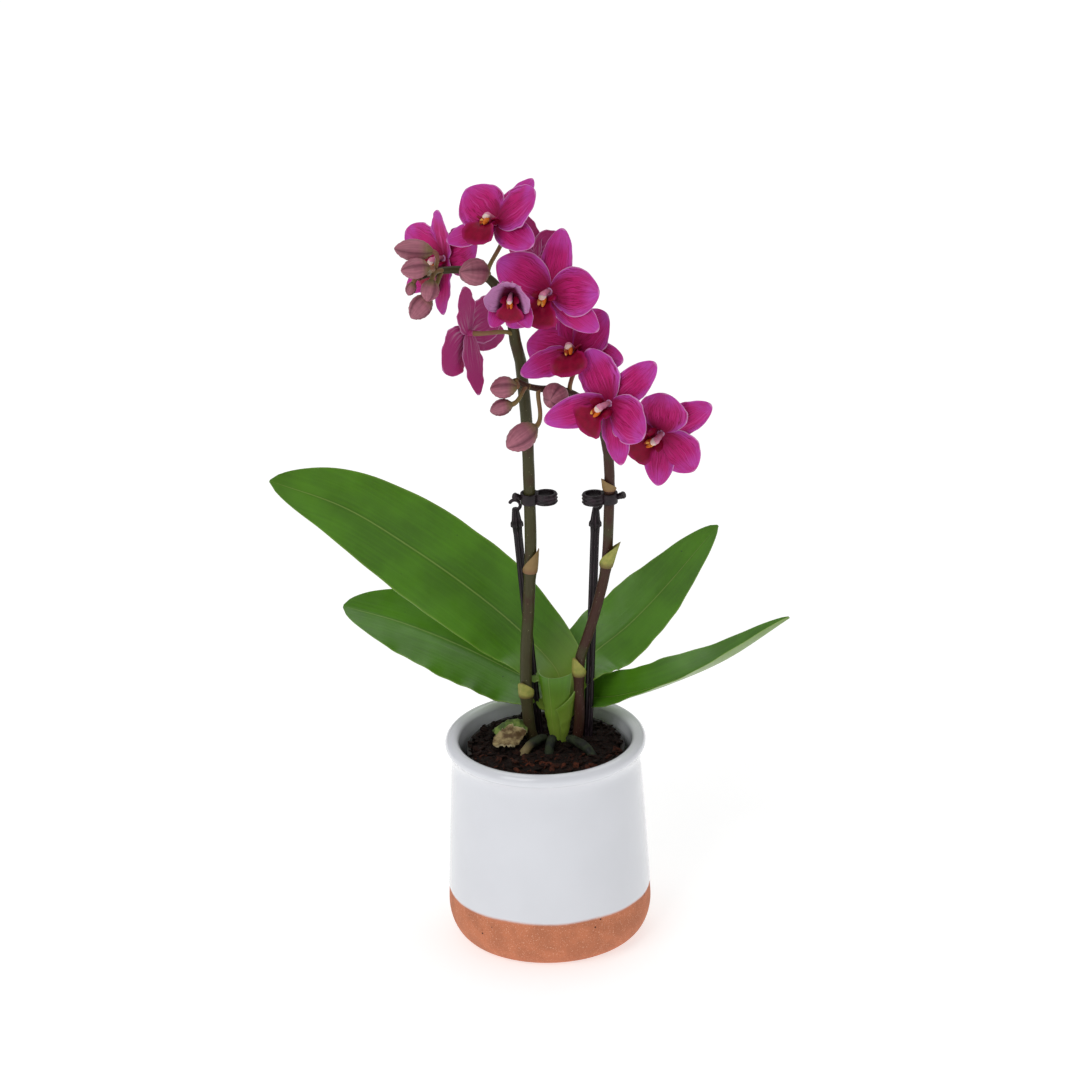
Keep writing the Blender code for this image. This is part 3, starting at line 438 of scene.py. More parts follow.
class Patchwork:
    """The points, faces and named values of one mesh, gathered patch by patch."""

    def __init__(self, *names):
        self.points = []
        self.faces = []
        self.values = {name: [] for name in names}

    def point(self, place, **values):
        self.points.append(place)
        for name, found in self.values.items():
            found.append(values.get(name, 0.0))
        return len(self.points) - 1

    def join_rows(self, rows, closed):
        for low, high in zip(rows, rows[1:]):
            for k in range(len(low) if closed else len(low) - 1):
                after = (k + 1) % len(low)
                self.faces.append((low[k], low[after], high[after], high[k]))

    def skin(self, rows):
        """A closed solid through rings of points, each a list of (place, values), capped at both ends."""
        rings = [[self.point(place, **values) for place, values in row] for row in rows]
        self.join_rows(rings, closed=True)
        self.faces.append(tuple(rings[0]))
        self.faces.append(tuple(rings[-1]))

    def slab(self, rows):
        """A thin closed solid from rows of (front, back, values). The value face is 1 in front, 0 behind."""
        fronts = [[self.point(front, face=1.0, **values) for front, back, values in row] for row in rows]
        backs = [[self.point(back, face=0.0, **values) for front, back, values in row] for row in rows]
        self.join_rows(fronts, closed=False)
        self.join_rows(backs, closed=False)
        for row in (0, -1):
            self.join_rows([fronts[row], backs[row]], closed=False)
        for column in (0, -1):
            self.join_rows([[row[column] for row in fronts], [row[column] for row in backs]], closed=False)

    def tube(self, path, radii, sides, shape=lambda angle: 1.0, **values):
        """A round solid along a path. Each point's share of the path is along, and its angle is turn."""
        tangents = [(b - a).normalized() for a, b in zip([path[0]] + path[:-1], path[1:] + [path[-1]])]
        tangents[0] = (path[1] - path[0]).normalized()
        across = tangents[0].orthogonal().normalized()
        rows = []
        for k, (place, tangent, radius) in enumerate(zip(path, tangents, radii)):
            across = (across - tangent * across.dot(tangent)).normalized()
            other = tangent.cross(across)
            row = []
            for angle in (2 * pi * j / sides for j in range(sides)):
                out = radius * shape(angle) * (cos(angle) * across + sin(angle) * other)
                row.append((place + out, {"along": k / (len(path) - 1), "turn": angle, **values}))
            rows.append(row)
        self.skin(rows)

    def lathe(self, profile, segments, value=lambda place: {}):
        """A solid turned round the Z axis from a closed profile of (radius, height) points off the axis."""
        columns = []
        for k in range(segments):
            turn = 2 * pi * k / segments
            column = []
            for radius, height in profile:
                place = Vector((radius * cos(turn), radius * sin(turn), height))
                found = value(place)
                column.append(self.point(found.pop("place", place), **found))
            columns.append(column + column[:1])
        self.join_rows(columns + columns[:1], closed=False)

    def ball(self, centre, axes, rings=8, sides=12, **values):
        """An ellipsoid with its three half axes given as vectors."""
        rows = []
        for i in range(rings + 1):
            height = -cos(pi * max(min(i / rings, 0.985), 0.015))
            width = math.sqrt(1 - height * height)
            turns = [2 * pi * j / sides for j in range(sides)]
            places = [
                centre + axes[2] * height + (axes[0] * cos(a) + axes[1] * sin(a)) * width for a in turns
            ]
            rows.append([(place, values) for place in places])
        self.skin(rows)

    def build(self, name, finish, slot, *nodes, crease=50):
        """The finished piece: it rides with the pot and stands for the named solids."""
        mesh = bpy.data.meshes.new(name)
        mesh.from_pydata(self.points, [], self.faces)
        for value, found in self.values.items():
            mesh.attributes.new(value, "FLOAT", "POINT").data.foreach_set("value", found)
        bm = bmesh.new()
        bm.from_mesh(mesh)
        bmesh.ops.recalc_face_normals(bm, faces=bm.faces)
        bm.to_mesh(mesh)
        bm.free()
        mesh.shade_smooth()
        mesh.set_sharp_from_angle(angle=radians(crease))
        mesh.materials.append(finish)
        piece = bpy.data.objects.new(name, mesh)
        bpy.context.scene.collection.objects.link(piece)
        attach(piece, "root")
        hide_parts(*nodes)


# ================================================================ materials

SMOOTH = {"interpolation_type": "SMOOTHSTEP"}  # an eased Map Range
COLOURS = {"data_type": "RGBA"}  # a Mix of two colours
TIMES = {"operation": "MULTIPLY"}
PLUS = {"operation": "ADD"}
LARGER = {"operation": "MAXIMUM"}
UNSIGNED = {"operation": "ABSOLUTE"}


def add(tree, kind, *inputs, out=None, **named):
    """Adds a node. Its inputs in use are linked or set in their order, or by their capitalised names, and the
    lower-case names are its settings. Gives back the output called out, or else the first one in use."""
    made = tree.nodes.new("ShaderNode" + kind)
    for name, value in named.items():
        if name.islower():
            setattr(made, name, value)
    pairs = list(zip([socket for socket in made.inputs if socket.enabled], inputs))
    pairs += [(made.inputs[name], value) for name, value in named.items() if not name.islower()]
    for socket, value in pairs:
        if isinstance(value, bpy.types.NodeSocket):
            tree.links.new(value, socket)
        else:
            socket.default_value = (*value, 1) if socket.type == "RGBA" else value
    return made.outputs[out] if out else next(socket for socket in made.outputs if socket.enabled)


def new_material(name, **constants):
    """A material, its shader with the given constants set, and the function that adds a node to its tree."""
    made = bpy.data.materials.new(name)
    made.use_nodes = True
    shader = made.node_tree.nodes["Principled BSDF"]
    for socket, value in constants.items():
        shader.inputs[socket.replace("_", " ")].default_value = value
    return made, shader, partial(add, made.node_tree)


def feed(shader, **outputs):
    """Links each output to the shader's input of that name."""
    for name, output in outputs.items():
        shader.id_data.links.new(output, shader.inputs[name.replace("_", " ")])


def shaded(colour, factor):
    """A colour made darker or lighter."""
    return tuple(min(c * factor, 1.0) for c in colour)


def glazed_terracotta():
    """White glaze fired over terracotta, with the foot left bare. The glaze is glossy, faintly blue and
    slightly uneven; the clay is matt, with light and dark grit and a few pinholes. Much of the real grit is
    finer than half a millimetre and wouldn't show, so it is drawn a little coarser."""
    pot = settings("pot")
    made, shader, node = new_material("Tin glaze on terracotta", IOR=1.5, Coat_Roughness=0.05)
    place = node("TexCoord", out="Object")
    glaze = node("Attribute", out="Fac", attribute_name="glaze")
    cloud = node("TexNoise", place, 1 / (9 * MM), 3)
    fired = node("MapRange", cloud, 0.35, 0.65, **SMOOTH)
    clay = node("Mix", fired, shaded(pot.clay, 0.86), shaded(pot.clay, 1.04), **COLOURS)
    light_grit = node("MapRange", node("TexNoise", place, 1 / (0.55 * MM), 1), 0.62, 0.7, 0, 0.5, **SMOOTH)
    clay = node("Mix", light_grit, clay, linear("#F1C3A4"), **COLOURS)
    dark_grit = node("MapRange", node("TexNoise", place, 1 / (0.8 * MM), 1), 0.36, 0.28, 0, 0.45, **SMOOTH)
    clay = node("Mix", dark_grit, clay, linear("#A85A3C"), **COLOURS)
    cells = node("TexVoronoi", place, 1 / (4.5 * MM))
    few = node("MapRange", node("TexNoise", place, 1 / (11 * MM), 0), 0.6, 0.64, **SMOOTH)
    pinhole = node("Math", node("MapRange", cells, 0.12, 0.08, **SMOOTH), few, **TIMES)
    clay = node("Mix", pinhole, clay, linear("#4A2618"), **COLOURS)
    uneven = node("MapRange", node("TexNoise", place, 1 / (30 * MM), 3), 0.3, 0.7, **SMOOTH)
    glass = node("Mix", uneven, shaded(pot.glaze, 0.965), pot.glaze, **COLOURS)
    rare = node("MapRange", cloud, 0.62, 0.68, 0, 0.6, **SMOOTH)
    fleck = node("Math", node("MapRange", cells, 0.05, 0.03, **SMOOTH), rare, **TIMES)
    glass = node("Mix", fleck, glass, linear("#8F8A86"), **COLOURS)
    bare = node("MapRange", glaze, 0, 1, 1, 0, **SMOOTH)
    lumps = node("Math", node("TexNoise", place, 1 / (0.6 * MM), 3), bare, **TIMES)
    swell = node("Math", node("TexNoise", place, 1 / (10 * MM), 1), 0.35, **TIMES)
    relief = node("Math", lumps, swell, **PLUS)
    feed(
        shader,
        Base_Color=node("Mix", glaze, clay, glass, **COLOURS),
        Roughness=node("MapRange", glaze, 0, 1, 0.85, 0.1, **SMOOTH),
        Coat_Weight=node("MapRange", glaze, 0.2, 1, 0, 0.5, **SMOOTH),
        Normal=node("Bump", Height=relief, Distance=0.12 * MM),
    )
    return made


def thin_plastic():
    """Thin polypropylene, vacuum formed: dark and half glossy, with dust on it."""
    made, shader, node = new_material("Vacuum-formed polypropylene", IOR=1.49, Specular_IOR_Level=0.3)
    place = node("TexCoord", out="Object")
    cloud = node("TexNoise", place, 1 / (5 * MM), 3)
    dust = node("MapRange", cloud, 0.45, 0.75, **SMOOTH)
    film = node("Math", dust, 0.4, **TIMES)
    feed(
        shader,
        Base_Color=node("Mix", film, settings("plastic").liner, linear("#3A3029"), **COLOURS),
        Roughness=node("MapRange", dust, 0, 1, 0.35, 0.7, **SMOOTH),
        Normal=node("Bump", Height=node("TexNoise", place, 1 / (0.8 * MM), 3), Distance=0.05 * MM),
    )
    return made


def peat_and_bark():
    """Composted bark and peat: nearly black and matt, with red-brown pieces of random tone; the pieces are
    kept near black at the back and made lighter at the front, which is painted light and shade.
    """
    mix = settings("mix")
    made, shader, node = new_material("Composted bark", IOR=1.45, Specular_IOR_Level=0.25)
    place = node("TexCoord", out="Object")
    seed = node("Attribute", out="Fac", attribute_name="seed")
    fines = node("MapRange", node("TexNoise", place, 1 / (0.7 * MM), 3), 0.35, 0.75, 0, 0.14, **SMOOTH)
    fibre = node("MapRange", node("TexNoise", place, 1 / (0.9 * MM), 3), 0.2, 0.7, **SMOOTH)
    # seed holds each bark piece's random tone, with painted light at the front and painted shade at the back
    share = node("Math", fines, node("Math", seed, fibre, **TIMES), **LARGER)
    damp = node("TexNoise", place, 1 / (1.5 * MM), 3)
    feed(
        shader,
        Base_Color=node("Mix", share, mix.peat, mix.bark, **COLOURS),
        Roughness=node("MapRange", damp, 0.3, 0.7, 0.75, 1, **SMOOTH),
        Normal=node("Bump", Height=node("TexNoise", place, 1 / (0.5 * MM), 3), Distance=0.5 * MM),
    )
    return made


def leaf_skin(name, along_base):
    """A thick waxy leaf: glossy green with fine lengthwise veins, a paler back, a thin light margin and a
    sunken midrib, with painted shade darkening the blade in the fold beside the midrib. The base is yellow
    green for the share along_base of the length."""
    leaf = settings("leaf")
    made, shader, node = new_material(
        name, IOR=1.45, Coat_Weight=0.12, Coat_Roughness=0.25, Subsurface_Weight=0.08,
        Subsurface_Radius=(0.4, 1.0, 0.15), Subsurface_Scale=1.0 * MM,
    )
    place = node("TexCoord", out="Object")
    names = ("along", "across", "face", "width", "seed")
    along, across, face, width, seed = (node("Attribute", out="Fac", attribute_name=n) for n in names)
    lines = node("Math", width, leaf.vein_gap, operation="DIVIDE")
    streaks = node("CombineXYZ", lines, node("Math", along, 5, **TIMES), seed)
    veins = node("TexNoise", streaks, 1, 1.5)
    cloud = node("TexNoise", place, 1 / (22 * MM), 3)
    patch = node("MapRange", cloud, 0.3, 0.7, **SMOOTH)
    blade = node("Mix", patch, shaded(leaf.blade, 0.84), shaded(leaf.blade, 1.16), **COLOURS)
    vein = node("MapRange", veins, 0.4, 0.7, 0, 0.2, **SMOOTH)
    blade = node("Mix", vein, blade, shaded(leaf.blade, 1.6), **COLOURS)
    out = node("Math", across, **UNSIGNED)
    # painted shade: the blade is darkened in the crease of its fold beside the midrib
    fold = node("MapRange", out, 0.09, 0.02, 0, 0.35, **SMOOTH)
    blade = node("Mix", fold, blade, shaded(leaf.blade, 0.6), **COLOURS)
    midrib = node("MapRange", out, 0.022, 0.006, 0, 0.5, **SMOOTH)
    blade = node("Mix", midrib, blade, linear("#93AE56"), **COLOURS)
    cells = node("TexVoronoi", place, 1 / (7 * MM))
    few = node("MapRange", cloud, 0.55, 0.6, 0, 0.7, **SMOOTH)
    spot = node("Math", node("MapRange", cells, 0.07, 0.04, **SMOOTH), few, **TIMES)
    blade = node("Mix", spot, blade, linear("#24361A"), **COLOURS)
    back = node("Mix", vein, leaf.back, shaded(leaf.back, 0.75), **COLOURS)
    colour = node("Mix", face, back, blade, **COLOURS)
    foot = node("MapRange", along, along_base, 0, 0, 0.6, **SMOOTH)
    colour = node("Mix", foot, colour, leaf.base, **COLOURS)
    edge = node("MapRange", out, 0.95, 1, 0, 0.55, **SMOOTH)
    grain = node("Math", node("TexNoise", place, 1 / (1.2 * MM), 3), 0.3, **TIMES)
    feed(
        shader,
        Base_Color=node("Mix", edge, colour, leaf.margin, **COLOURS),
        Roughness=node("MapRange", node("TexNoise", place, 1 / (6 * MM), 3), 0.3, 0.7, 0.32, 0.46, **SMOOTH),
        Normal=node("Bump", Height=node("Math", veins, grain, **PLUS), Distance=0.07 * MM),
    )
    return made


def dead_leaf():
    """A withered leaf: papery, torn and curled, olive where it is still damp and tan where it has dried."""
    made, shader, node = new_material("Withered leaf", IOR=1.4)
    place = node("TexCoord", out="Object")
    dry, across = (node("Attribute", out="Fac", attribute_name=n) for n in ("dry", "across"))
    cloud = node("TexNoise", place, 1 / (3.5 * MM), 3)
    damp = node("MapRange", cloud, 0.4, 0.6, **SMOOTH)
    green = node("Mix", damp, linear("#3F5A22"), linear("#6E8A3C"), **COLOURS)
    blotch = node("MapRange", cloud, 0.35, 0.65, **SMOOTH)
    tan = node("Mix", blotch, linear("#5A4426"), linear("#A8966A"), **COLOURS)
    colour = node("Mix", dry, green, tan, **COLOURS)
    edge = node("MapRange", node("Math", across, **UNSIGNED), 0.9, 1, 0, 0.6, **SMOOTH)
    feed(
        shader,
        Base_Color=node("Mix", edge, colour, linear("#CFC39B"), **COLOURS),
        Roughness=node("MapRange", cloud, 0.3, 0.7, 0.6, 0.85, **SMOOTH),
        Normal=node("Bump", Height=node("TexNoise", place, 1 / (0.9 * MM), 3), Distance=0.3 * MM),
    )
    return made


def root_skin():
    """The spongy skin of an air root: dull grey green, wrinkled, darker where it is wet, with a tan end."""
    made, shader, node = new_material("Air root skin", IOR=1.4)
    place = node("TexCoord", out="Object")
    cloud = node("TexNoise", place, 1 / (3 * MM), 3)
    wet = node("MapRange", cloud, 0.35, 0.65, **SMOOTH)
    colour = node("Mix", wet, linear("#0F130C"), linear("#2E3722"), **COLOURS)
    tan = node("Math", node("Attribute", out="Fac", attribute_name="tan"), 0.8, **TIMES)
    feed(
        shader,
        Base_Color=node("Mix", tan, colour, linear("#8A7A50"), **COLOURS),
        Roughness=node("MapRange", cloud, 0.3, 0.7, 0.55, 0.85, **SMOOTH),
        Normal=node("Bump", Height=node("TexNoise", place, 1 / (0.7 * MM), 3), Distance=0.25 * MM),
    )
    return made


def stem_skin(name, brown_share):
    """A flower stem's skin: firm and half glossy, olive green clouded with purple brown, with small pale dots
    and thin lengthwise lines. Its stalks are yellower."""
    spike = settings("spike")
    made, shader, node = new_material(name, IOR=1.45, Specular_IOR_Level=0.3)
    place = node("TexCoord", out="Object")
    names = ("turn", "stalk", "height")
    turn, stalk, height = (node("Attribute", out="Fac", attribute_name=n) for n in names)
    cloud = node("TexNoise", place, 1 / (14 * MM), 3)
    brown = node("MapRange", cloud, 0.75 - brown_share, 1 - brown_share, **SMOOTH)
    colour = node("Mix", brown, spike.green, spike.brown, **COLOURS)
    streaks = node("TexNoise", node("CombineXYZ", node("Math", turn, 3, **TIMES), height), 1.5, 2)
    line = node("MapRange", streaks, 0.5, 0.75, 0, 0.4, **SMOOTH)
    colour = node("Mix", line, colour, shaded(spike.green, 1.5), **COLOURS)
    dot = node("MapRange", node("TexVoronoi", place, 1 / (1.6 * MM)), 0.14, 0.08, 0, 0.45, **SMOOTH)
    colour = node("Mix", dot, colour, linear("#A9A27C"), **COLOURS)
    blush = node("MapRange", cloud, 0.35, 0.65, **SMOOTH)
    stalks = node("Mix", blush, spike.stalk, linear("#8A5A4A"), **COLOURS)
    relief = node("Math", streaks, node("TexNoise", place, 1 / (0.6 * MM), 3), **PLUS)
    feed(
        shader,
        Base_Color=node("Mix", stalk, colour, stalks, **COLOURS),
        Roughness=node("MapRange", cloud, 0.3, 0.7, 0.4, 0.55, **SMOOTH),
        Normal=node("Bump", Height=relief, Distance=0.08 * MM),
    )
    return made


def scale_leaf():
    """A clasping scale: yellow green and thin, drying to brown at its lower edge and its point."""
    made, shader, node = new_material("Stem scale", IOR=1.4)
    place = node("TexCoord", out="Object")
    along, across, dry = (node("Attribute", out="Fac", attribute_name=n) for n in ("along", "across", "dry"))
    patch = node("MapRange", node("TexNoise", place, 1 / (2 * MM), 3), 0.2, 0.8, **SMOOTH)
    fresh = node("Mix", patch, settings("spike").bract, linear("#8F9646"), **COLOURS)
    lower_edge = node("MapRange", along, 0.3, 0, 0, 0.8, **SMOOTH)
    point = node("MapRange", along, 0.85, 1, 0, 0.8, **SMOOTH)
    colour = node("Mix", node("Math", lower_edge, point, **LARGER), fresh, linear("#5B3E28"), **COLOURS)
    streaks = node("TexNoise", node("CombineXYZ", node("Math", across, 9, **TIMES), along), 1.5)
    line = node("MapRange", streaks, 0.5, 0.7, 0, 0.3, **SMOOTH)
    colour = node("Mix", line, colour, linear("#7F7A3C"), **COLOURS)
    feed(
        shader,
        Base_Color=node("Mix", dry, colour, linear("#8A6248"), **COLOURS),
        Roughness=node("MapRange", streaks, 0.3, 0.7, 0.45, 0.65, **SMOOTH),
        Normal=node("Bump", Height=streaks, Distance=0.1 * MM),
    )
    return made


def petal_skin():
    """A petal: a velvety magenta skin of tiny domed cells, which gives a soft sheen and no sharp highlight.
    Darker veins fan out from a crimson foot, the outer part is paler and the very edge nearly white. The
    cells are far finer than a tenth of a millimetre, so their grain is drawn at half a millimetre."""
    flower = settings("flower")
    made, shader, node = new_material(
        "Orchid petal", IOR=1.4, Specular_IOR_Level=0.2, Subsurface_Weight=0.15,
        Subsurface_Radius=(1.0, 0.15, 0.5), Subsurface_Scale=1.0 * MM,
    )
    place = node("TexCoord", out="Object")
    names = ("along", "across", "face", "seed", "young")
    along, across, face, seed, opening = (node("Attribute", out="Fac", attribute_name=n) for n in names)
    warp = node("Math", node("TexNoise", place, 1 / (6 * MM), 3), 0.22, **TIMES)
    fan = node("Math", node("Math", across, warp, **PLUS), 9, **TIMES)
    lines = node("CombineXYZ", fan, node("Math", along, 1.1, **TIMES), seed)
    waves = node("TexNoise", lines, 1.4, 2)
    ridge = node("Math", node("Math", waves, 0.5, operation="SUBTRACT"), **UNSIGNED)
    fading = node("MapRange", along, 0.95, 0.35, 0.3, 0.9, **SMOOTH)
    vein = node("Math", node("MapRange", ridge, 0.05, 0, **SMOOTH), fading, **TIMES)
    out = node("Math", across, **UNSIGNED)
    cloud = node("TexNoise", place, 1 / (7 * MM), 3)
    foot = node("MapRange", along, 0.5, 0.08, **SMOOTH)
    colour = node("Mix", foot, flower.petal, flower.heart, **COLOURS)
    sides = node("MapRange", out, 0.5, 0.95, **SMOOTH)
    rim = node("Math", sides, node("MapRange", along, 0.55, 0.95, **SMOOTH), **LARGER)
    rim = node("Math", rim, node("MapRange", cloud, 0.3, 0.65, 0.35, 0.9, **SMOOTH), **TIMES)
    colour = node("Mix", rim, colour, flower.tip, **COLOURS)
    strength = node("MapRange", along, 0.1, 0.5, 0.1, 0.3, **SMOOTH)
    light = node("Math", node("MapRange", waves, 0.56, 0.75, **SMOOTH), strength, **TIMES)
    colour = node("Mix", light, colour, linear("#D868BA"), **COLOURS)
    colour = node("Mix", vein, colour, shaded(flower.heart, 0.9), **COLOURS)
    margin = node("MapRange", out, 0.93, 1, **SMOOTH)
    margin = node("Math", margin, node("MapRange", along, 0.955, 1, **SMOOTH), **LARGER)
    colour = node("Mix", node("Math", margin, 0.85, **TIMES), colour, flower.edge, **COLOURS)
    keel = node("MapRange", out, 0.05, 0, 0, 0.35, **SMOOTH)
    colour = node("Mix", keel, colour, shaded(flower.heart, 1.3), **COLOURS)
    pale_foot = node("MapRange", along, 0.7, 0.1, **SMOOTH)
    streak = node("Math", node("MapRange", waves, 0.5, 0.75, **SMOOTH), pale_foot, **TIMES)
    back = node("Mix", streak, flower.back, linear("#C893B0"), **COLOURS)
    back = node("Mix", margin, back, flower.edge, **COLOURS)
    outer = node("MapRange", along, 0.25, 0.5, **SMOOTH)
    young = node("Mix", outer, linear("#4A0A18"), linear("#C78FC0"), **COLOURS)
    young = node("Mix", node("Math", vein, 0.6, **TIMES), young, linear("#7A2A66"), **COLOURS)
    colour = node("Mix", opening, colour, young, **COLOURS)
    sunken = node("Math", vein, -0.6, **TIMES)
    relief = node("Math", sunken, node("TexNoise", place, 1 / (0.5 * MM), 1), **PLUS)
    feed(
        shader,
        Base_Color=node("Mix", face, back, colour, **COLOURS),
        Roughness=node("MapRange", cloud, 0.3, 0.7, 0.5, 0.62, **SMOOTH),
        Normal=node("Bump", Height=relief, Distance=0.1 * MM),
    )
    return made


def lip_skin():
    """The lip: thicker and waxier than a petal, deep crimson, with a magenta margin and an orange callus that
    is barred with red."""
    flower = settings("flower")
    made, shader, node = new_material("Orchid lip", IOR=1.45, Specular_IOR_Level=0.15)
    place = node("TexCoord", out="Object")
    names = ("across", "along", "callus")
    across, along, callus = (node("Attribute", out="Fac", attribute_name=n) for n in names)
    cloud = node("TexNoise", place, 1 / (3 * MM), 3)
    patch = node("MapRange", cloud, 0.35, 0.65, **SMOOTH)
    colour = node("Mix", patch, shaded(flower.lip, 0.85), shaded(flower.lip, 1.1), **COLOURS)
    sides = node("MapRange", node("Math", across, **UNSIGNED), 0.72, 1, 0, 0.8, **SMOOTH)
    margin = node("Math", sides, node("MapRange", along, 0.85, 1, 0, 0.7, **SMOOTH), **LARGER)
    colour = node("Mix", margin, colour, linear("#A51460"), **COLOURS)
    bars = node("CombineXYZ", node("Math", along, 30, **TIMES), node("Math", across, 3, **TIMES))
    bar = node("MapRange", node("TexNoise", bars, 1), 0.5, 0.56, 0, 0.8, **SMOOTH)
    swelling = node("Mix", bar, flower.callus, linear("#8E1B1B"), **COLOURS)
    yellow = node("MapRange", cloud, 0.54, 0.66, **SMOOTH)
    swelling = node("Mix", yellow, swelling, linear("#E2A653"), **COLOURS)
    feed(
        shader,
        Base_Color=node("Mix", callus, colour, swelling, **COLOURS),
        Roughness=node("MapRange", cloud, 0.3, 0.7, 0.35, 0.5, **SMOOTH),
        Normal=node("Bump", Height=node("TexNoise", place, 1 / (0.7 * MM), 3), Distance=0.1 * MM),
    )
    return made


def column_skin():
    """The column: smooth and waxy, rosy below and nearly white at the pollen cap."""
    flower = settings("flower")
    made, shader, node = new_material(
        "Orchid column", IOR=1.45, Coat_Weight=0.2, Coat_Roughness=0.25, Subsurface_Weight=0.2,
        Subsurface_Scale=1.0 * MM,
    )
    place = node("TexCoord", out="Object")
    along, end = (node("Attribute", out="Fac", attribute_name=n) for n in ("along", "cap"))
    cloud = node("TexNoise", place, 1 / (2 * MM), 3)
    foot = node("MapRange", along, 0.1, 0.7, **SMOOTH)
    body = node("Mix", foot, shaded(flower.column, 0.7), flower.column, **COLOURS)
    patch = node("MapRange", cloud, 0.35, 0.65, **SMOOTH)
    cap = node("Mix", patch, shaded(flower.cap, 0.9), flower.cap, **COLOURS)
    feed(
        shader,
        Base_Color=node("Mix", end, body, cap, **COLOURS),
        Roughness=node("MapRange", cloud, 0.3, 0.7, 0.35, 0.5, **SMOOTH),
        Normal=node("Bump", Height=cloud, Distance=0.08 * MM),
    )
    return made


def bud_skin():
    """A closed bud: firm, dusty mauve and matt, olive green towards its stalk, with darker seams and faint
    lengthwise veins."""
    bud = settings("bud")
    made, shader, node = new_material("Orchid bud", IOR=1.42, Specular_IOR_Level=0.3)
    place = node("TexCoord", out="Object")
    names = ("along", "turn", "seam", "seed")
    along, turn, seam, seed = (node("Attribute", out="Fac", attribute_name=n) for n in names)
    streaks = node("TexNoise", node("CombineXYZ", node("Math", turn, 3, **TIMES), along, seed), 1.6, 2)
    vein = node("MapRange", streaks, 0.4, 0.62, **SMOOTH)
    skin = node("Mix", vein, shaded(bud.skin, 0.8), shaded(bud.skin, 1.05), **COLOURS)
    foot = node("MapRange", along, 0.45, 0, **SMOOTH)
    foot = node("Math", foot, node("MapRange", streaks, 0.3, 0.6, 0.6, 1, **SMOOTH), **TIMES)
    skin = node("Mix", foot, skin, bud.base, **COLOURS)
    relief = node("Math", streaks, node("TexNoise", place, 1 / (0.6 * MM), 3), **PLUS)
    feed(
        shader,
        Base_Color=node("Mix", node("Math", seam, 0.75, **TIMES), skin, bud.seam, **COLOURS),
        Roughness=node("MapRange", streaks, 0.3, 0.7, 0.45, 0.6, **SMOOTH),
        Normal=node("Bump", Height=relief, Distance=0.06 * MM),
    )
    return made


def moulded_plastic(name):
    """Injection-moulded polypropylene: purple black and half glossy, scuffed lighter on its ribs."""
    made, shader, node = new_material(name, IOR=1.49, Specular_IOR_Level=0.3)
    place = node("TexCoord", out="Object")
    rib = node("Attribute", out="Fac", attribute_name="rib")
    scuff = node("MapRange", node("TexNoise", place, 1 / (2.5 * MM), 3), 0.4, 0.65, **SMOOTH)
    worn = node("Math", node("Math", rib, scuff, **TIMES), 0.55, **TIMES)
    feed(
        shader,
        Base_Color=node("Mix", worn, settings("plastic").black, linear("#5A4450"), **COLOURS),
        Roughness=node("MapRange", scuff, 0, 1, 0.3, 0.5, **SMOOTH),
        Normal=node("Bump", Height=node("TexNoise", place, 1 / (0.6 * MM), 3), Distance=0.04 * MM),
    )
    return made


def lit_floor():
    """A seamless sheet of white acrylic, lit faintly from below so that it stays white round the pot."""
    floor = settings("stage").floor
    made, shader, node = new_material(
        "Lit acrylic sheet", Roughness=0.9, IOR=1.49, Emission_Color=(1, 1, 1, 1), Emission_Strength=0.6
    )
    cloud = node("TexNoise", node("TexCoord", out="Object"), 1 / (400 * MM), 3)
    patch = node("MapRange", cloud, 0.3, 0.7, **SMOOTH)
    feed(shader, Base_Color=node("Mix", patch, shaded(floor, 0.995), floor, **COLOURS))
    return made


# ================================================================ pots and mix

POT_NECK_RADIUS = POT_BELLY_RADIUS - POT_TAPER
ROLL_CENTRE = (POT_NECK_RADIUS + POT_ROLL_OUT - POT_ROLL_RADIUS, POT_HEIGHT - POT_ROLL_RADIUS)
POT_MOUTH_RADIUS = ROLL_CENTRE[0] - POT_ROLL_RADIUS
LINER_TOP_RADIUS = POT_MOUTH_RADIUS - LINER_RING - LINER_RIM_OUT
LINER_BASE_RADIUS = LINER_TOP_RADIUS - LINER_TAPER
LINER_BASE = POT_FLOOR + GAP
LINER_TOP = MIX_TOP + LINER_STAND


def arc(centre, radius, start, stop, steps):
    """Points of an arc in a profile, between two angles in degrees, counted from +radius to +height."""
    angles = [radians(start + (stop - start) * k / steps) for k in range(steps + 1)]
    return [(centre[0] + radius * cos(a), centre[1] + radius * sin(a)) for a in angles]


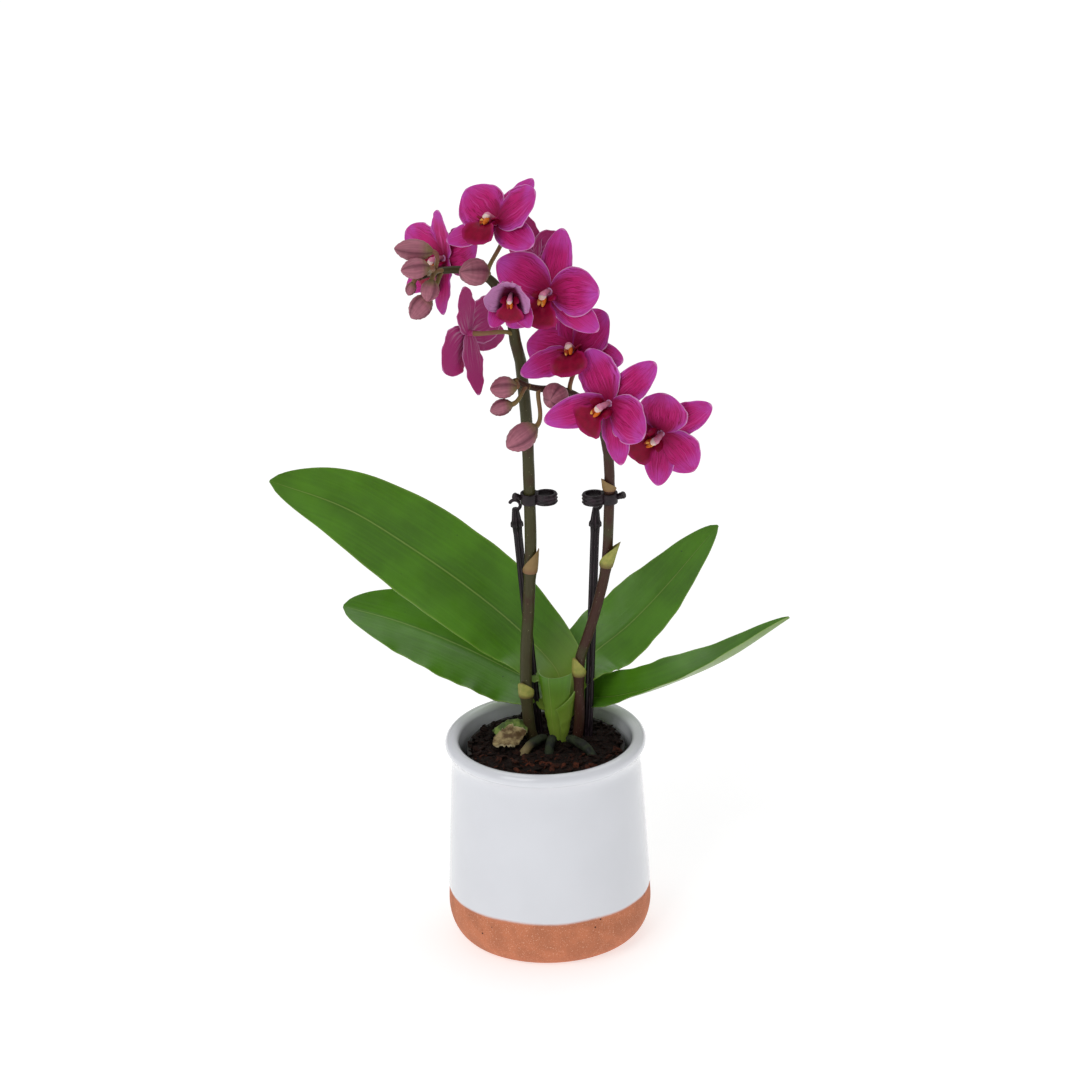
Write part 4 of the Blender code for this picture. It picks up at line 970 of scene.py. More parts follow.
def pot_profile():
    """The pot's wall, from the middle of its base up the outside, over the rolled rim and down the inside."""
    base = POT_BELLY_RADIUS - POT_FOOT_ROUND
    neck = POT_HEIGHT - POT_NECK_DROP
    inside = POT_BELLY_RADIUS - POT_WALL
    outer = [(0.3 * MM, 0), (0.5 * base, 0), (base - 0.4 * MM, 0)]
    for turn in range(6, 91, 6):
        height = POT_BELLY_HEIGHT * (1 - cos(radians(turn)))
        outer.append((base + POT_FOOT_ROUND * sin(radians(turn)), height))
    band = 100
    for k in range(1, band + 1):
        share = k / band
        radius = POT_BELLY_RADIUS - POT_TAPER * blend(share, share * share, 0.25)
        outer.append((radius, blend(POT_BELLY_HEIGHT, neck, share)))
    throat = 5.2 * MM  # a shallow hollow below the roll
    for k in range(1, 6):
        radius = POT_NECK_RADIUS - 0.25 * MM * sin(pi * k / 6)
        outer.append((radius, blend(neck, ROLL_CENTRE[1] - throat, k / 6)))
    outer += arc(ROLL_CENTRE, POT_ROLL_RADIUS, -58, 180, 26)
    inner = [(POT_NECK_RADIUS - POT_WALL, neck + 3 * MM), (POT_NECK_RADIUS - POT_WALL, neck)]
    for share in (k / 6 for k in range(1, 6)):
        inner.append((blend(POT_NECK_RADIUS - POT_WALL, inside, share), blend(neck, POT_BELLY_HEIGHT, share)))
    corner = 0.5 * POT_FOOT_ROUND
    inner += arc((inside - corner, POT_FLOOR + corner), corner, 0, -90, 6)
    inner += [(0.5 * base, POT_FLOOR), (0.3 * MM, POT_FLOOR)]
    return outer + inner


def make_pot():
    pot = settings("pot")
    edge = 0.8 * MM  # how softly the glaze ends

    def glazed(place):
        """The glaze covers all that lies above its wavering lower edge, and stands out a little."""
        level = Vector((place.x, place.y, 0))
        waver = 0.6 * MM * noise.noise(place / (18 * MM)) + 0.12 * MM * noise.noise(place / (2.2 * MM))
        inside = level.length < POT_BELLY_RADIUS - POT_WALL + MM and place.z > 0.9 * POT_FLOOR
        covered = 1.0 if inside else eased(pot.glaze_line - edge, pot.glaze_line + edge, place.z + waver)
        bare = (1 - covered) * pot.glaze_depth if place.z > 0.1 * MM else 0.0
        return {"place": place - level.normalized() * bare, "glaze": covered}

    work = Patchwork("glaze")
    work.lathe(pot_profile(), 256, glazed)
    work.build("cover_pot", glazed_terracotta(), "glazed_pot", "pot", crease=60)


def make_liner():
    inner_top, inner_base = LINER_TOP_RADIUS - LINER_WALL, LINER_BASE_RADIUS - LINER_WALL
    rim = LINER_TOP_RADIUS + LINER_RIM_OUT
    lip = 0.45 * MM  # the rim's rounding
    profile = [(1 * MM, LINER_BASE), (LINER_BASE_RADIUS - lip, LINER_BASE)]
    profile += [(LINER_BASE_RADIUS, LINER_BASE + lip)]
    profile += [(LINER_TOP_RADIUS, LINER_TOP - LINER_RIM_HEIGHT), (rim, LINER_TOP - LINER_RIM_HEIGHT)]
    profile += arc((rim - lip, LINER_TOP - lip), lip, 0, 90, 4)
    profile += arc((inner_top + lip, LINER_TOP - lip), lip, 90, 180, 4)
    profile += [(inner_base, LINER_BASE + LINER_WALL), (1 * MM, LINER_BASE + LINER_WALL)]
    work = Patchwork()
    work.lathe(profile, 128)
    work.build("thin_pot", thin_plastic(), "liner_plastic", "nursery_pot")


def mix_height(x, y):
    """The height of the mix's surface, which is lumpy at three sizes."""
    place = Vector((x, y, 0))
    lumps = ((1.1, 7.0), (1.0, 2.6), (0.5, 1.0))  # height and width in millimetres
    return MIX_TOP + sum(high * MM * noise.noise(place / (wide * MM)) for high, wide in lumps)


def make_mix():
    """The body of fines in the thin pot, with bark pieces of all sizes pressed into its surface."""
    mix = settings("mix")
    floor = LINER_BASE + LINER_WALL + GAP
    slope = LINER_TAPER / (LINER_TOP - LINER_RIM_HEIGHT - LINER_BASE)
    top = LINER_TOP_RADIUS - LINER_WALL - GAP - slope * (LINER_TOP - MIX_TOP) - GAP
    base = LINER_BASE_RADIUS - LINER_WALL - GAP
    work = Patchwork("seed")
    segments, rings = 120, 44
    wall = [(base, floor), (0.5 * (base + top), 0.5 * (floor + MIX_TOP))]
    surface = [(top * (1 - k / rings), None) for k in range(rings)] + [(0.01 * top, None)]
    skin = []
    for radius, height in wall + surface:
        row = []
        for turn in (2 * pi * k / segments for k in range(segments)):
            x, y = radius * cos(turn), radius * sin(turn)
            row.append((Vector((x, y, mix_height(x, y) if height is None else height)), {}))
        skin.append(row)
    work.skin(skin)

    draw = random.Random(11)
    for number in range(mix.chips):
        turn = draw.uniform(0, 2 * pi)
        on_rim = number % 5 == 0  # every fifth piece lies against or on the thin pot's rim
        radius = top + draw.uniform(-2.0, 2.0) * MM if on_rim else (top - MM) * math.sqrt(draw.random())
        x, y = radius * cos(turn), radius * sin(turn)
        size = mix.chip_size * draw.choice((0.3, 0.4, 0.5, 0.7, 1.0, 1.4))
        level = max(mix_height(x, y), LINER_TOP) if on_rim else mix_height(x, y)
        centre = Vector((x, y, level + 0.1 * size))
        tilt = Matrix.Rotation(draw.uniform(0, 2 * pi), 3, "Z") @ Matrix.Rotation(draw.gauss(0, 0.35), 3, "X")
        tilt = tilt @ Matrix.Rotation(draw.gauss(0, 0.35), 3, "Y")
        half = 0.5 * size * Vector((1, draw.uniform(0.35, 0.8), draw.uniform(0.2, 0.45)))
        # painted light and shade: each piece's random bark tone is scaled up at the front of the mix and kept
        # near black at the back
        front = 1 - eased(-20 * MM, 5 * MM, y)
        seed = draw.random() ** 2.2 * blend(0.08, 1.0, front)
        rows = []
        for end, girth in ((-1, 0.55), (-0.8, 0.9), (0, 1.0), (0.75, 0.9), (1, 0.5)):
            corners = []
            for angle in (20, 70, 110, 160, 200, 250, 290, 340):
                wide, high = cos(radians(angle)), sin(radians(angle))
                jag = draw.uniform(0.75, 1.1) * girth
                corner = Vector((end * half.x, wide * half.y * jag, high * half.z * jag))
                corners.append((centre + tilt @ corner, {"seed": seed}))
            rows.append(corners)
        work.skin(rows)
    work.build("bark_and_peat", peat_and_bark(), "bark_mix", "potting_bark", crease=35)


# ================================================================ stem base, roots and leaves


def leaf_frame(spine, leaf, share):
    """The place on a leaf's spine, with the way to its side and the way that its upper face looks."""
    place, tangent = point_along(spine, share)
    side = tangent.cross(blend(Vector(leaf.face_base), Vector(leaf.face_tip), share)).normalized()
    return place, side, side.cross(tangent)


def leaf_rows(leaf, seed, wave, along=72, across=24):
    """Rows of a folded strap leaf, thick at its sunken midrib and thin at its gently waving margin."""
    spine = smooth([at(*p) for p in leaf.spine], 12)
    rows = []
    for i in range(along + 1):
        share = i / along
        place, side, face = leaf_frame(spine, leaf, share)
        spread = 0.28 * (1 - share) ** 3 + sin(pi * min(share, 0.9993) ** leaf.widest) ** leaf.fullness
        half = 0.5 * leaf.width * MM * min(spread, 1.0)
        fold = radians(blend(leaf.fold_base, leaf.fold_tip, share))
        row = []
        for j in range(across + 1):
            v = sin(0.5 * pi * (2 * j / across - 1))
            rise = (math.hypot(v, 0.12) - 0.12) * half * sin(fold)
            flutter = sin(9 * pi * share + 2.2 * seed + (1.4 if v > 0 else 0))
            flutter += 0.5 * sin(23 * share * pi + seed)
            rise += wave * abs(v) ** 4 * flutter * sin(pi * share)
            rise -= 0.35 * MM * math.exp(-((v / 0.06) ** 2)) * sin(pi * min(share + 0.1, 1.0))
            point = place + side * (v * half * cos(fold)) + face * rise
            depth = LEAF_THICKNESS * (1 - 0.8 * v * v) * (1 - 0.5 * share) + 0.15 * MM
            values = {"along": share, "across": v, "seed": seed, "width": v * half}
            row.append((point, point - face * depth, values))
        rows.append(row)
    return rows


def make_leaves():
    skin = leaf_skin("Waxy leaf", 0.34)
    for number, (name, leaf) in enumerate(LEAVES.items()):
        wave = settings("leaf").wave * (1.6 if name == "leaf_lower_left" else 1.0)
        work = Patchwork("along", "across", "face", "seed", "width")
        work.slab(leaf_rows(leaf, 3.0 * number, wave))
        work.build(name.replace("leaf", "strap_leaf"), skin, "leaf", name)


SHEATH_FOOT = at(5.6, 7.5, -5.0)
SHEATH_TOP = at(6.2, 10.5, 0) + SHEATH_HEIGHT * UP
SHEATH_GIRTH = ((0, 0.50), (0.17, 0.54), (0.33, 0.70), (0.5, 0.88), (0.67, 1.0), (0.85, 1.05), (1.0, 1.08))
CORE_TOP = 0.62  # the solid core ends inside the sheaths
SHEATH_THICKNESS = 0.6 * MM
# Where each sheath starts and stops round the stem and how far its start slants, in degrees; how high it
# reaches, as a share; how far it stands off, in millimetres; the share of a leaf's green that it reaches; and
# the height of its rim across it, in millimetres.
Sheath = namedtuple("Sheath", "start slant stop rise stand_off green rim")
SHEATHS = (  # the left sheath, then the brighter right one that laps over it
    Sheath(165, 0, 318, 1.0, 0.0, 0.5, lambda v: 1.6 * v * v - 1.6),
    Sheath(262, 30, 402, 0.98, 0.75, 0.3, lambda v: 8.0 * v - 8.0),
)


def make_stem_base():
    """The short stem in its leaf sheaths. Each sheath is a folded blade that clasps the next one in, and
    opens at its top where the leaf blades come out behind it."""
    work = Patchwork("along", "across", "face", "seed", "width")
    rows = []
    for i in range(25):
        share = CORE_TOP * i / 24
        middle = SHEATH_FOOT.lerp(SHEATH_TOP, share)
        girth = along_table(SHEATH_GIRTH, share) * (1 - 0.3 * eased(0.45, CORE_TOP, share))
        row = []
        for j in range(40):
            turn = 2 * pi * j / 40
            half_width, half_depth = 0.49 * SHEATH_WIDTH * girth, 0.46 * SHEATH_DEPTH * girth
            v = cos(turn)
            place = middle + Vector((half_width * v, half_depth * sin(turn), 0))
            row.append((place, {"along": 0.3 * share, "across": 0.8 * v, "face": 1.0, "width": v * 6 * MM}))
        rows.append(row)
    work.skin(rows)
    for seed, sheath in enumerate(SHEATHS, 1):
        rows = []
        for i in range(33):
            share = i / 32
            height = sheath.rise * share
            middle = SHEATH_FOOT.lerp(SHEATH_TOP, height)
            girth = along_table(SHEATH_GIRTH, height)
            open_out = MM * (sheath.stand_off + 1.2 * eased(0.6, 1.0, share))
            half_width = 0.5 * SHEATH_WIDTH * girth + open_out
            half_depth = 0.5 * SHEATH_DEPTH * girth + open_out
            row = []
            for j in range(21):
                v = 2 * j / 20 - 1
                turn = radians(blend(sheath.start + sheath.slant * (1 - share), sheath.stop, j / 20))
                place = middle + UP * (sheath.rim(v) * MM * share * share)
                out = Vector((half_width * cos(turn), half_depth * sin(turn), 0))
                thick = SHEATH_THICKNESS * (1 - 0.5 * v * v)
                values = {"along": sheath.green * share, "across": v, "seed": seed, "width": v * 6 * MM}
                row.append((place + out, place + out * (1 - thick / out.length), values))
            rows.append(row)
        work.slab(rows)
    work.build("leaf_sheaths", leaf_skin("Leaf sheath", 0.6), "sheath", "stem_base")


def make_roots():
    skin = root_skin()
    for name, points in ROOTS.items():
        path = smooth([at(*p) for p in points], 8)
        radii = []
        for k, place in enumerate(path):
            lumps = 1 + 0.12 * noise.noise(place / (2.6 * MM))
            radii.append(ROOT_RADIUS * lumps * blend(0.8, 1.0, eased(0, 0.2, k / (len(path) - 1))))
        work = Patchwork("along", "tan")
        work.tube(path, radii, 20)
        if name == "root_left":
            work.values["tan"] = [eased(0.55, 0.8, share) for share in work.values["along"]]
        work.build(name.replace("root", "air_root"), skin, "root_skin", name)


GREEN_STRIP = (  # three lines from left to right, each from the front to the back
    ((-22.0, 2.0, 5.0), (-22.8, 5.0, 6.8), (-22.5, 8.0, 5.6)),
    ((-15.0, 5.0, 7.6), (-15.2, 8.5, 9.6), (-15.2, 12.0, 8.2)),
    ((-7.4, 4.5, 5.4), (-7.2, 8.5, 8.0), (-7.0, 12.0, 7.0)),
)
TORN_PIECE = (
    ((-22.5, -3.5, 3.0), (-23.2, 0.0, 4.4), (-22.0, 3.0, 5.0)),
    ((-16.5, -5.0, 3.2), (-16.0, 0.5, 6.6), (-15.0, 5.0, 8.2)),
    ((-11.5, -3.5, 3.4), (-9.4, 0.0, 5.4), (-8.0, 3.5, 6.0)),
)
WITHERED_THICKNESS = 0.45 * MM


def crumpled(lines, lift, seed, dry, amount, along=30, across=20):
    """Rows of a crumpled sheet over three lines of points, with a ragged edge all round."""
    curves = [smooth([at(*p) for p in line], across // 2) for line in lines]
    rows = []
    for i in range(along + 1):
        share = i / along
        row = []
        for j in range(across + 1):
            v = 2 * j / across - 1
            a, b, c = (curve[j] for curve in curves)
            pull = 2 * b - 0.5 * (a + c)
            place = a * (1 - share) ** 2 + 2 * pull * share * (1 - share) + c * share * share
            fold = noise.noise(place / (2.8 * MM) + Vector((seed, 0, 0)))
            fine = noise.noise(place / (1.1 * MM) + Vector((0, seed, 0)))
            place = place + UP * (lift + amount * (fold + 0.4 * fine))
            rag = max(abs(v), abs(2 * share - 1)) ** 8
            place = place + Vector((fold, fine, 0)) * 1.6 * MM * rag
            row.append((place, place - UP * WITHERED_THICKNESS, {"across": v, "dry": dry}))
        rows.append(row)
    return rows


def make_old_leaf():
    """The stub of an older leaf: a green strip arched on the mix, with a dry torn piece in front of it."""
    work = Patchwork("across", "dry")
    work.slab(crumpled(GREEN_STRIP, 0.0, 3.0, 0.1, 0.8 * MM))
    work.slab(crumpled(TORN_PIECE, 0.5 * MM, 9.0, 1.0, 1.2 * MM))
    work.build("withered_leaf", dead_leaf(), "dry_leaf", "old_leaf")


# ================================================================ spikes


def in_spray(base, place):
    return base + TEPAL_LENGTH * Vector(place)


def flower_frame(flower):
    """The viewer's right, the flower's own up and the way it faces."""
    front = direction(*flower.facing)
    right = UP.cross(front).normalized()
    top = front.cross(right)
    turn = radians(flower.roll)
    return cos(turn) * right - sin(turn) * top, cos(turn) * top + sin(turn) * right, front


STEM_RADII = {"left": LEFT_STEM_RADIUS, "right": RIGHT_STEM_RADIUS}


def stem_path(side):
    """A stem from the mix to where its arch begins."""
    stem, rise, base = LEFT_STEM, LEFT_RISE, LEFT_SPRAY_BASE
    if side == "right":
        stem, rise, base = RIGHT_STEM, RIGHT_RISE, RIGHT_SPRAY_BASE
    return smooth([at(*p) for p in stem] + [in_spray(base, p) for p in rise], 8)


def node_heights(side):
    return [MIX_TOP + height * MM for owner, height, *_ in BRACTS.values() if owner == side]


def make_spike(side, base, flowers, buds, finish):
    """A flower stem, swollen a little at its joints, with its arch, its stalks and a small scale at each."""
    radius = STEM_RADII[side]
    stem = stem_path(side)
    arch = smooth([in_spray(base, p) for p in (LEFT_ARCH if side == "left" else RIGHT_ARCH)], 8)
    path = stem + arch
    radii = []
    for k, place in enumerate(path):
        share = max(0.0, (k - len(stem) + 1) / len(arch))
        swell = sum(0.14 * math.exp(-(((place.z - level) / (2.2 * MM)) ** 2)) for level in node_heights(side))
        lumps = 0.04 * noise.noise(place / (9 * MM))
        radii.append(blend(radius, SPIKE_TIP_RADIUS, share) * (1 + (swell if not share else 0) + lumps))
    work = Patchwork("turn", "stalk", "height")
    work.tube(path, radii, 24)
    stalks = []
    for flower in flowers:
        front = flower_frame(flower)[2]
        heading = direction(*flower.stalk) if flower.stalk else front
        end = in_spray(base, flower.place) - front * (0.9 * flower.size * RECEPTACLE_DEPTH)
        stalks.append((flower.joint, end, heading))
    for bud in buds:
        axis = direction(*bud.axis)
        stalks.append((bud.joint, in_spray(base, bud.place) - axis * (0.47 * bud.length * MM), axis))
    for joint, end, heading in stalks:
        start, along = point_along(arch, joint)
        reach = (end - start).length
        curve = bezier(start, start + 0.3 * reach * along, end - 0.4 * reach * heading, end, 24)
        girth = [PEDICEL_RADIUS * (1.0 + 0.55 * math.exp(-k / 2) + 0.2 * eased(18, 24, k)) for k in range(25)]
        work.tube(curve, girth, 14, stalk=1.0)
        leaning = (curve[3] - curve[0]).normalized()
        middle = start + leaning * 1.3 * PEDICEL_RADIUS - along * 0.6 * MM
        across = leaning.cross(along).normalized()
        axes = (across * 1.5 * MM, leaning * 1.0 * MM, (along + leaning).normalized() * 2.0 * MM)
        work.ball(middle, axes, stalk=0.35)
    work.values["height"] = [place.z / (6 * MM) for place in work.points]
    work.build(f"flower_stem_{side}", finish, "stem", f"spike_{side}")


def make_spikes():
    finishes = {"left": stem_skin("Green stem skin", 0.28), "right": stem_skin("Brown stem skin", 0.5)}
    for side, base, flowers, buds in SPRAYS:
        make_spike(side, base, flowers, buds, finishes[side])


def make_bracts():
    """Scales that clasp the stem at a joint and end in a point on one side."""
    finish = scale_leaf()
    for name, (side, height, length, turn, flare) in BRACTS.items():
        path, stem_radius = stem_path(side), STEM_RADII[side]
        rows = []
        for i in range(21):
            share = i / 20
            middle, along = point_at_height(path, MIX_TOP + height * MM + share * length * MM)
            radius = stem_radius + BRACT_GAP + BRACT_THICKNESS + flare * MM * share**1.4
            radius -= 0.3 * MM * math.exp(-share * 9)
            reach = radians(160) * max((1 - share) ** 0.75, 0.03)
            row = []
            for j in range(25):
                v = 2 * j / 24 - 1
                angle = radians(turn) + reach * v
                out = Vector((cos(angle), sin(angle), 0))
                out = (out - along * out.dot(along)).normalized()
                thin = BRACT_THICKNESS * (1 - 0.5 * abs(v)) * (1 - 0.4 * share)
                outside, inside = middle + out * radius, middle + out * (radius - thin)
                row.append((outside, inside, {"along": share, "across": v}))
            rows.append(row)
        work = Patchwork("along", "across", "dry")
        work.slab(rows)
        work.values["dry"] = [0.75 if name in DRY_BRACTS else 0.0] * len(work.points)
        work.build(name.replace("bract", "stem_scale"), finish, "bract", name)


# ================================================================ flowers and buds

TEPAL_LIFT = 0.3 * MM
HALF_OPEN_CUP = 0.15  # a flower that cups more than this is still opening
PALE_WHEN_YOUNG = (0, 1, 4)  # the upper sepal and the two petals
SEPAL_FORM = (TEPAL_LENGTH, SEPAL_WIDTH, -TEPAL_LIFT, 0.55, 0.9)  # length, width, lift, fullness, widest
PETAL_FORM = (PETAL_LENGTH, PETAL_WIDTH, TEPAL_LIFT, 0.6, 1.0)
TEPAL_FORMS = (SEPAL_FORM, PETAL_FORM, SEPAL_FORM, SEPAL_FORM, PETAL_FORM)


def tepal_rows(flower, place, tepal, form, draw, along=26, across=18):
    """Rows of one sepal or petal: a thin blade on a narrow foot, with a crease and a waving margin."""
    right, top, front = flower_frame(flower)
    length, width, lift, fullness, widest = form
    angle, tilt, stretch = tepal
    out = cos(radians(angle)) * top + sin(radians(angle)) * right
    side = cos(radians(angle)) * right - sin(radians(angle)) * top
    length, width = length * flower.size * stretch, width * flower.size
    curl = radians(flower.curl)
    start = radians(tilt) - 0.5 * curl
    thickness, wave = settings("flower").thickness, settings("flower").wave
    phase, seed, skew = draw.uniform(0, 2 * pi), draw.uniform(0, 40), draw.uniform(-0.05, 0.05)
    rows = []
    for i in range(along + 1):
        share = blend(0.03, 0.998, sin(0.5 * pi * i / along) ** 1.1)
        bend = start + curl * share
        reach = length * (sin(bend) - sin(start)) / curl
        rise = length * (cos(start) - cos(bend)) / curl
        half = 0.5 * width * sin(pi * min(share, 0.9995) ** widest) ** fullness + 0.03 * width * (1 - share)
        face = cos(bend) * front - sin(bend) * out
        middle = place + out * reach + front * (rise + lift) + side * (skew * length * share * share)
        row = []
        for j in range(across + 1):
            v = sin(0.5 * pi * (2 * j / across - 1))
            ripple = sin(5.5 * share * pi + phase + (1.9 if v > 0 else 0))
            ripple += 0.5 * sin(11 * share * pi + 2 * phase)
            height = flower.cup * half * v * v + wave * ripple * abs(v) ** 3 * sin(pi * share)
            height -= 0.3 * MM * math.exp(-((v / 0.09) ** 2)) * (1 - share)
            point = middle + side * (v * half) + face * height
            depth = 0.5 * thickness * (1 - 0.65 * v * v) * (1 - 0.45 * share)
            values = {"along": share, "across": v, "seed": seed}
            row.append((point + depth * face, point - depth * face, values))
        rows.append(row)
    return rows


LIP_SPREAD = ((0.0, 0.20), (0.15, 0.34), (0.34, 0.50), (0.55, 0.88), (0.72, 1.0), (0.9, 0.92), (1.0, 0.5))


def add_lip(work, flower, place):
    """The lip: a blade that leaves the column's foot forwards and then hangs, widest near its end, with a
    side lobe standing at each side of its claw and a two-part callus between them."""
    right, top, front = flower_frame(flower)
    size = flower.size
    unit = size * MM
    start = place + front * (RECEPTACLE_FACE + GAP + LIP_THICKNESS)
    start = start - top * ((COLUMN_RADIUS + LIP_THICKNESS) * size + GAP)
    rows = []
    for i in range(25):
        share = i / 24
        reach = LIP_REACH * size * sin(0.5 * pi * min(1.6 * share, 1.0))
        middle = start + front * reach - top * (LIP_DROP * size * share**1.4)
        half = 0.5 * LIP_WIDTH * size * along_table(LIP_SPREAD, share)
        turn = radians(blend(75, 0, share))
        face = sin(turn) * top + cos(turn) * front
        cup = blend(0.7, -0.12, share)
        row = []
        for j in range(17):
            v = 2 * j / 16 - 1
            keel = 0.5 * MM * size * math.exp(-((v / 0.18) ** 2)) * sin(pi * share)
            point = middle + right * (v * half) + face * (cup * half * v * v + keel)
            point = point + top * (0.18 * half * abs(v) * eased(0.6, 0.95, share))
            depth = 0.5 * LIP_THICKNESS * (1 - 0.6 * v * v)
            row.append((point + depth * face, point - depth * face, {"along": share, "across": v}))
        rows.append(row)
    work.slab(rows)
    for hand in (-1, 1):
        rows = []
        for i in range(15):
            share = i / 14
            lean = radians(blend(35, 75, share))
            out = right * (hand * sin(lean)) * 0.75 + top * cos(lean) * 0.9 + front * 0.55
            middle = start + (front * 1.5 + right * (hand * 1.2) + out * (6.2 * share)) * unit
            half = 3.0 * unit * sin(pi * min(0.12 + 0.86 * share, 0.97)) ** 0.6
            along_lobe = (front * 0.85 - top * 0.35).normalized()
            face = along_lobe.cross(out).normalized() * -hand
            row = []
            for j in range(13):
                v = 2 * j / 12 - 1
                point = middle + along_lobe * (v * half) + face * (0.25 * half * v * v)
                depth = 0.5 * SIDE_LOBE_THICKNESS
                row.append((point + depth * face, point - depth * face, {"along": share, "across": 0.6 * v}))
            rows.append(row)
        work.slab(rows)
        middle = start + (front * 5.8 + right * (hand * 0.95) - top * 0.9) * unit
        axes = (right * unit, (top - 0.3 * front) * 2.4 * unit, front * 1.3 * unit)
        work.ball(middle, axes, callus=1.0, along=0.2, across=0.3 * hand)


def add_column(work, flower, place):
    """The column: a short club that curves down a little, with the pollen cap over its end."""
    right, top, front = flower_frame(flower)
    length = COLUMN_LENGTH * flower.size
    foot = place + front * (RECEPTACLE_FACE + GAP) + top * (0.2 * COLUMN_RADIUS)
    curve = [foot + front * (length * t) - top * (0.22 * length * t * t) for t in (k / 14 for k in range(14))]
    shape = ((0, 0.7), (0.3, 0.85), (0.6, 0.95), (0.85, 1.15), (1.0, 0.8))
    radii = [COLUMN_RADIUS * flower.size * along_table(shape, k / 13) for k in range(14)]
    work.tube(curve, radii, 20)
    tip = curve[-1] - front * (0.9 * MM * flower.size)
    unit = flower.size * MM
    axes = (right * 1.75 * unit, top * 1.6 * unit, (front - 0.5 * top).normalized() * 1.9 * unit)
    work.ball(tip, axes, rings=12, sides=18, cap=1.0)


def make_flowers():
    petals, lip, column = petal_skin(), lip_skin(), column_skin()
    for side, base, flowers, _ in SPRAYS:
        for number, flower in enumerate(flowers, 1):
            name = f"{side}_flower_{number}"
            draw = random.Random(100 * (side == "left") + number)
            place = in_spray(base, flower.place)
            front = flower_frame(flower)[2]
            work = Patchwork("along", "across", "face", "seed", "young")
            size = flower.size
            stalk = [place - front * (RECEPTACLE_DEPTH * size * (1 - k / 8)) for k in range(8)]
            stalk.append(place + front * RECEPTACLE_FACE)
            thin, thick = PEDICEL_RADIUS * 1.1, RECEPTACLE_RADIUS * size
            work.tube(stalk, [blend(thin, thick, eased(0.2, 0.9, k / 8)) for k in range(9)], 16)
            for kind, (tepal, form) in enumerate(zip(flower.tepals, TEPAL_FORMS)):
                first = len(work.points)
                work.slab(tepal_rows(flower, place, tepal, form, draw))
                if flower.cup > HALF_OPEN_CUP and kind in PALE_WHEN_YOUNG:
                    work.values["young"][first:] = [0.9] * (len(work.points) - first)
            work.build(f"{name}_tepals", petals, "petal", f"{name}_petals")
            work = Patchwork("along", "across", "callus")
            add_lip(work, flower, place)
            work.build(f"{name}_labellum", lip, "lip", f"{name}_lip")
            work = Patchwork("along", "cap")
            add_column(work, flower, place)
            work.build(f"{name}_column_and_cap", column, "column", f"{name}_column")


BUD_GIRTH = (
    (0.0, 0.26), (0.06, 0.46), (0.16, 0.72), (0.3, 0.92), (0.46, 1.0), (0.62, 0.96), (0.78, 0.78), (0.9, 0.5),
    (0.97, 0.24), (1.0, 0.06),
)


def make_buds():
    """Closed buds: three sepals that meet in seams, drawn out to a blunt point."""
    finish = bud_skin()
    for side, base, _, buds in SPRAYS:
        for number, bud in enumerate(buds, 1):
            axis = direction(*bud.axis)
            back = in_spray(base, bud.place) - axis * (0.5 * bud.length * MM)
            length, radius = bud.length * MM, 0.5 * bud.width * MM
            droop = (UP - axis * axis.z) * (-0.05 * length)
            across = axis.orthogonal().normalized()
            other = axis.cross(across)
            rows = []
            for i in range(33):
                share = i / 32
                middle = back + axis * (length * share) + droop * share * share
                row = []
                for j in range(36):
                    turn = 2 * pi * j / 36
                    seam = abs(cos(1.5 * turn + number)) ** 24
                    girth = radius * along_table(BUD_GIRTH, share) * (1 - 0.07 * seam * sin(pi * share))
                    girth *= 1 + 0.04 * cos(3 * turn + 2 * number + pi)
                    place = middle + girth * (cos(turn) * across + sin(turn) * other)
                    row.append((place, {"along": share, "turn": turn, "seam": seam, "seed": 5.0 * number}))
                rows.append(row)
            work = Patchwork("along", "turn", "seam", "seed")
            work.skin(rows)
            work.build(f"{side}_flower_bud_{number}", finish, "bud", f"{side}_bud_{number}")


# ================================================================ stakes and clips


STAKE_COLLAR = (  # height in millimetres and girth of the collar and the tapered head
    (-0.6, 0.75), (0.0, 1.0), (1.2, 1.0), (2.0, 0.96), (2.8, 0.78), (5.5, 0.66), (8.5, 0.52), (9.0, 0.45),
)
HOOK_WIRE_RADIUS = 0.8 * MM


def make_stakes():
    """Ribbed stakes, each with a collar, a tapered head and a small open hook."""
    finish = moulded_plastic("Moulded polypropylene")
    for name, (foot, top) in STAKES.items():
        foot, top = at(*foot), at(*top)
        along = (top - foot).normalized()
        buried = foot - along * SOCKET_DEPTH
        count = 40
        path = [buried.lerp(top, 0.97 * k / count) for k in range(count + 1)]
        radii = [STAKE_RADIUS * min(1.0, 0.5 + 6 * k / count) for k in range(count + 1)]
        path += [top + along * (rise * MM) for rise, girth in STAKE_COLLAR]
        radii += [STAKE_COLLAR_RADIUS * girth for rise, girth in STAKE_COLLAR]
        work = Patchwork("turn", "rib")
        work.tube(path, radii, 48, lambda angle: 0.88 + 0.12 * cos(8 * angle))
        work.values["rib"] = [eased(0.2, 1.0, cos(8 * turn)) for turn in work.values["turn"]]
        middle = top + along * (8.0 * MM + STAKE_HOOK_RADIUS)
        hook = []
        for turn in range(-90, 161, 10):
            across = Vector((cos(radians(turn)), 0, 0))
            hook.append(middle + STAKE_HOOK_RADIUS * (across + sin(radians(turn)) * along))
        girth = [HOOK_WIRE_RADIUS * min(1.0, 0.6 + 0.2 * (len(hook) - k)) for k in range(len(hook))]
        work.tube(hook, girth, 14, rib=0.4)
        work.build(name.replace("stake", "ribbed_stake"), finish, "black_plastic", name)


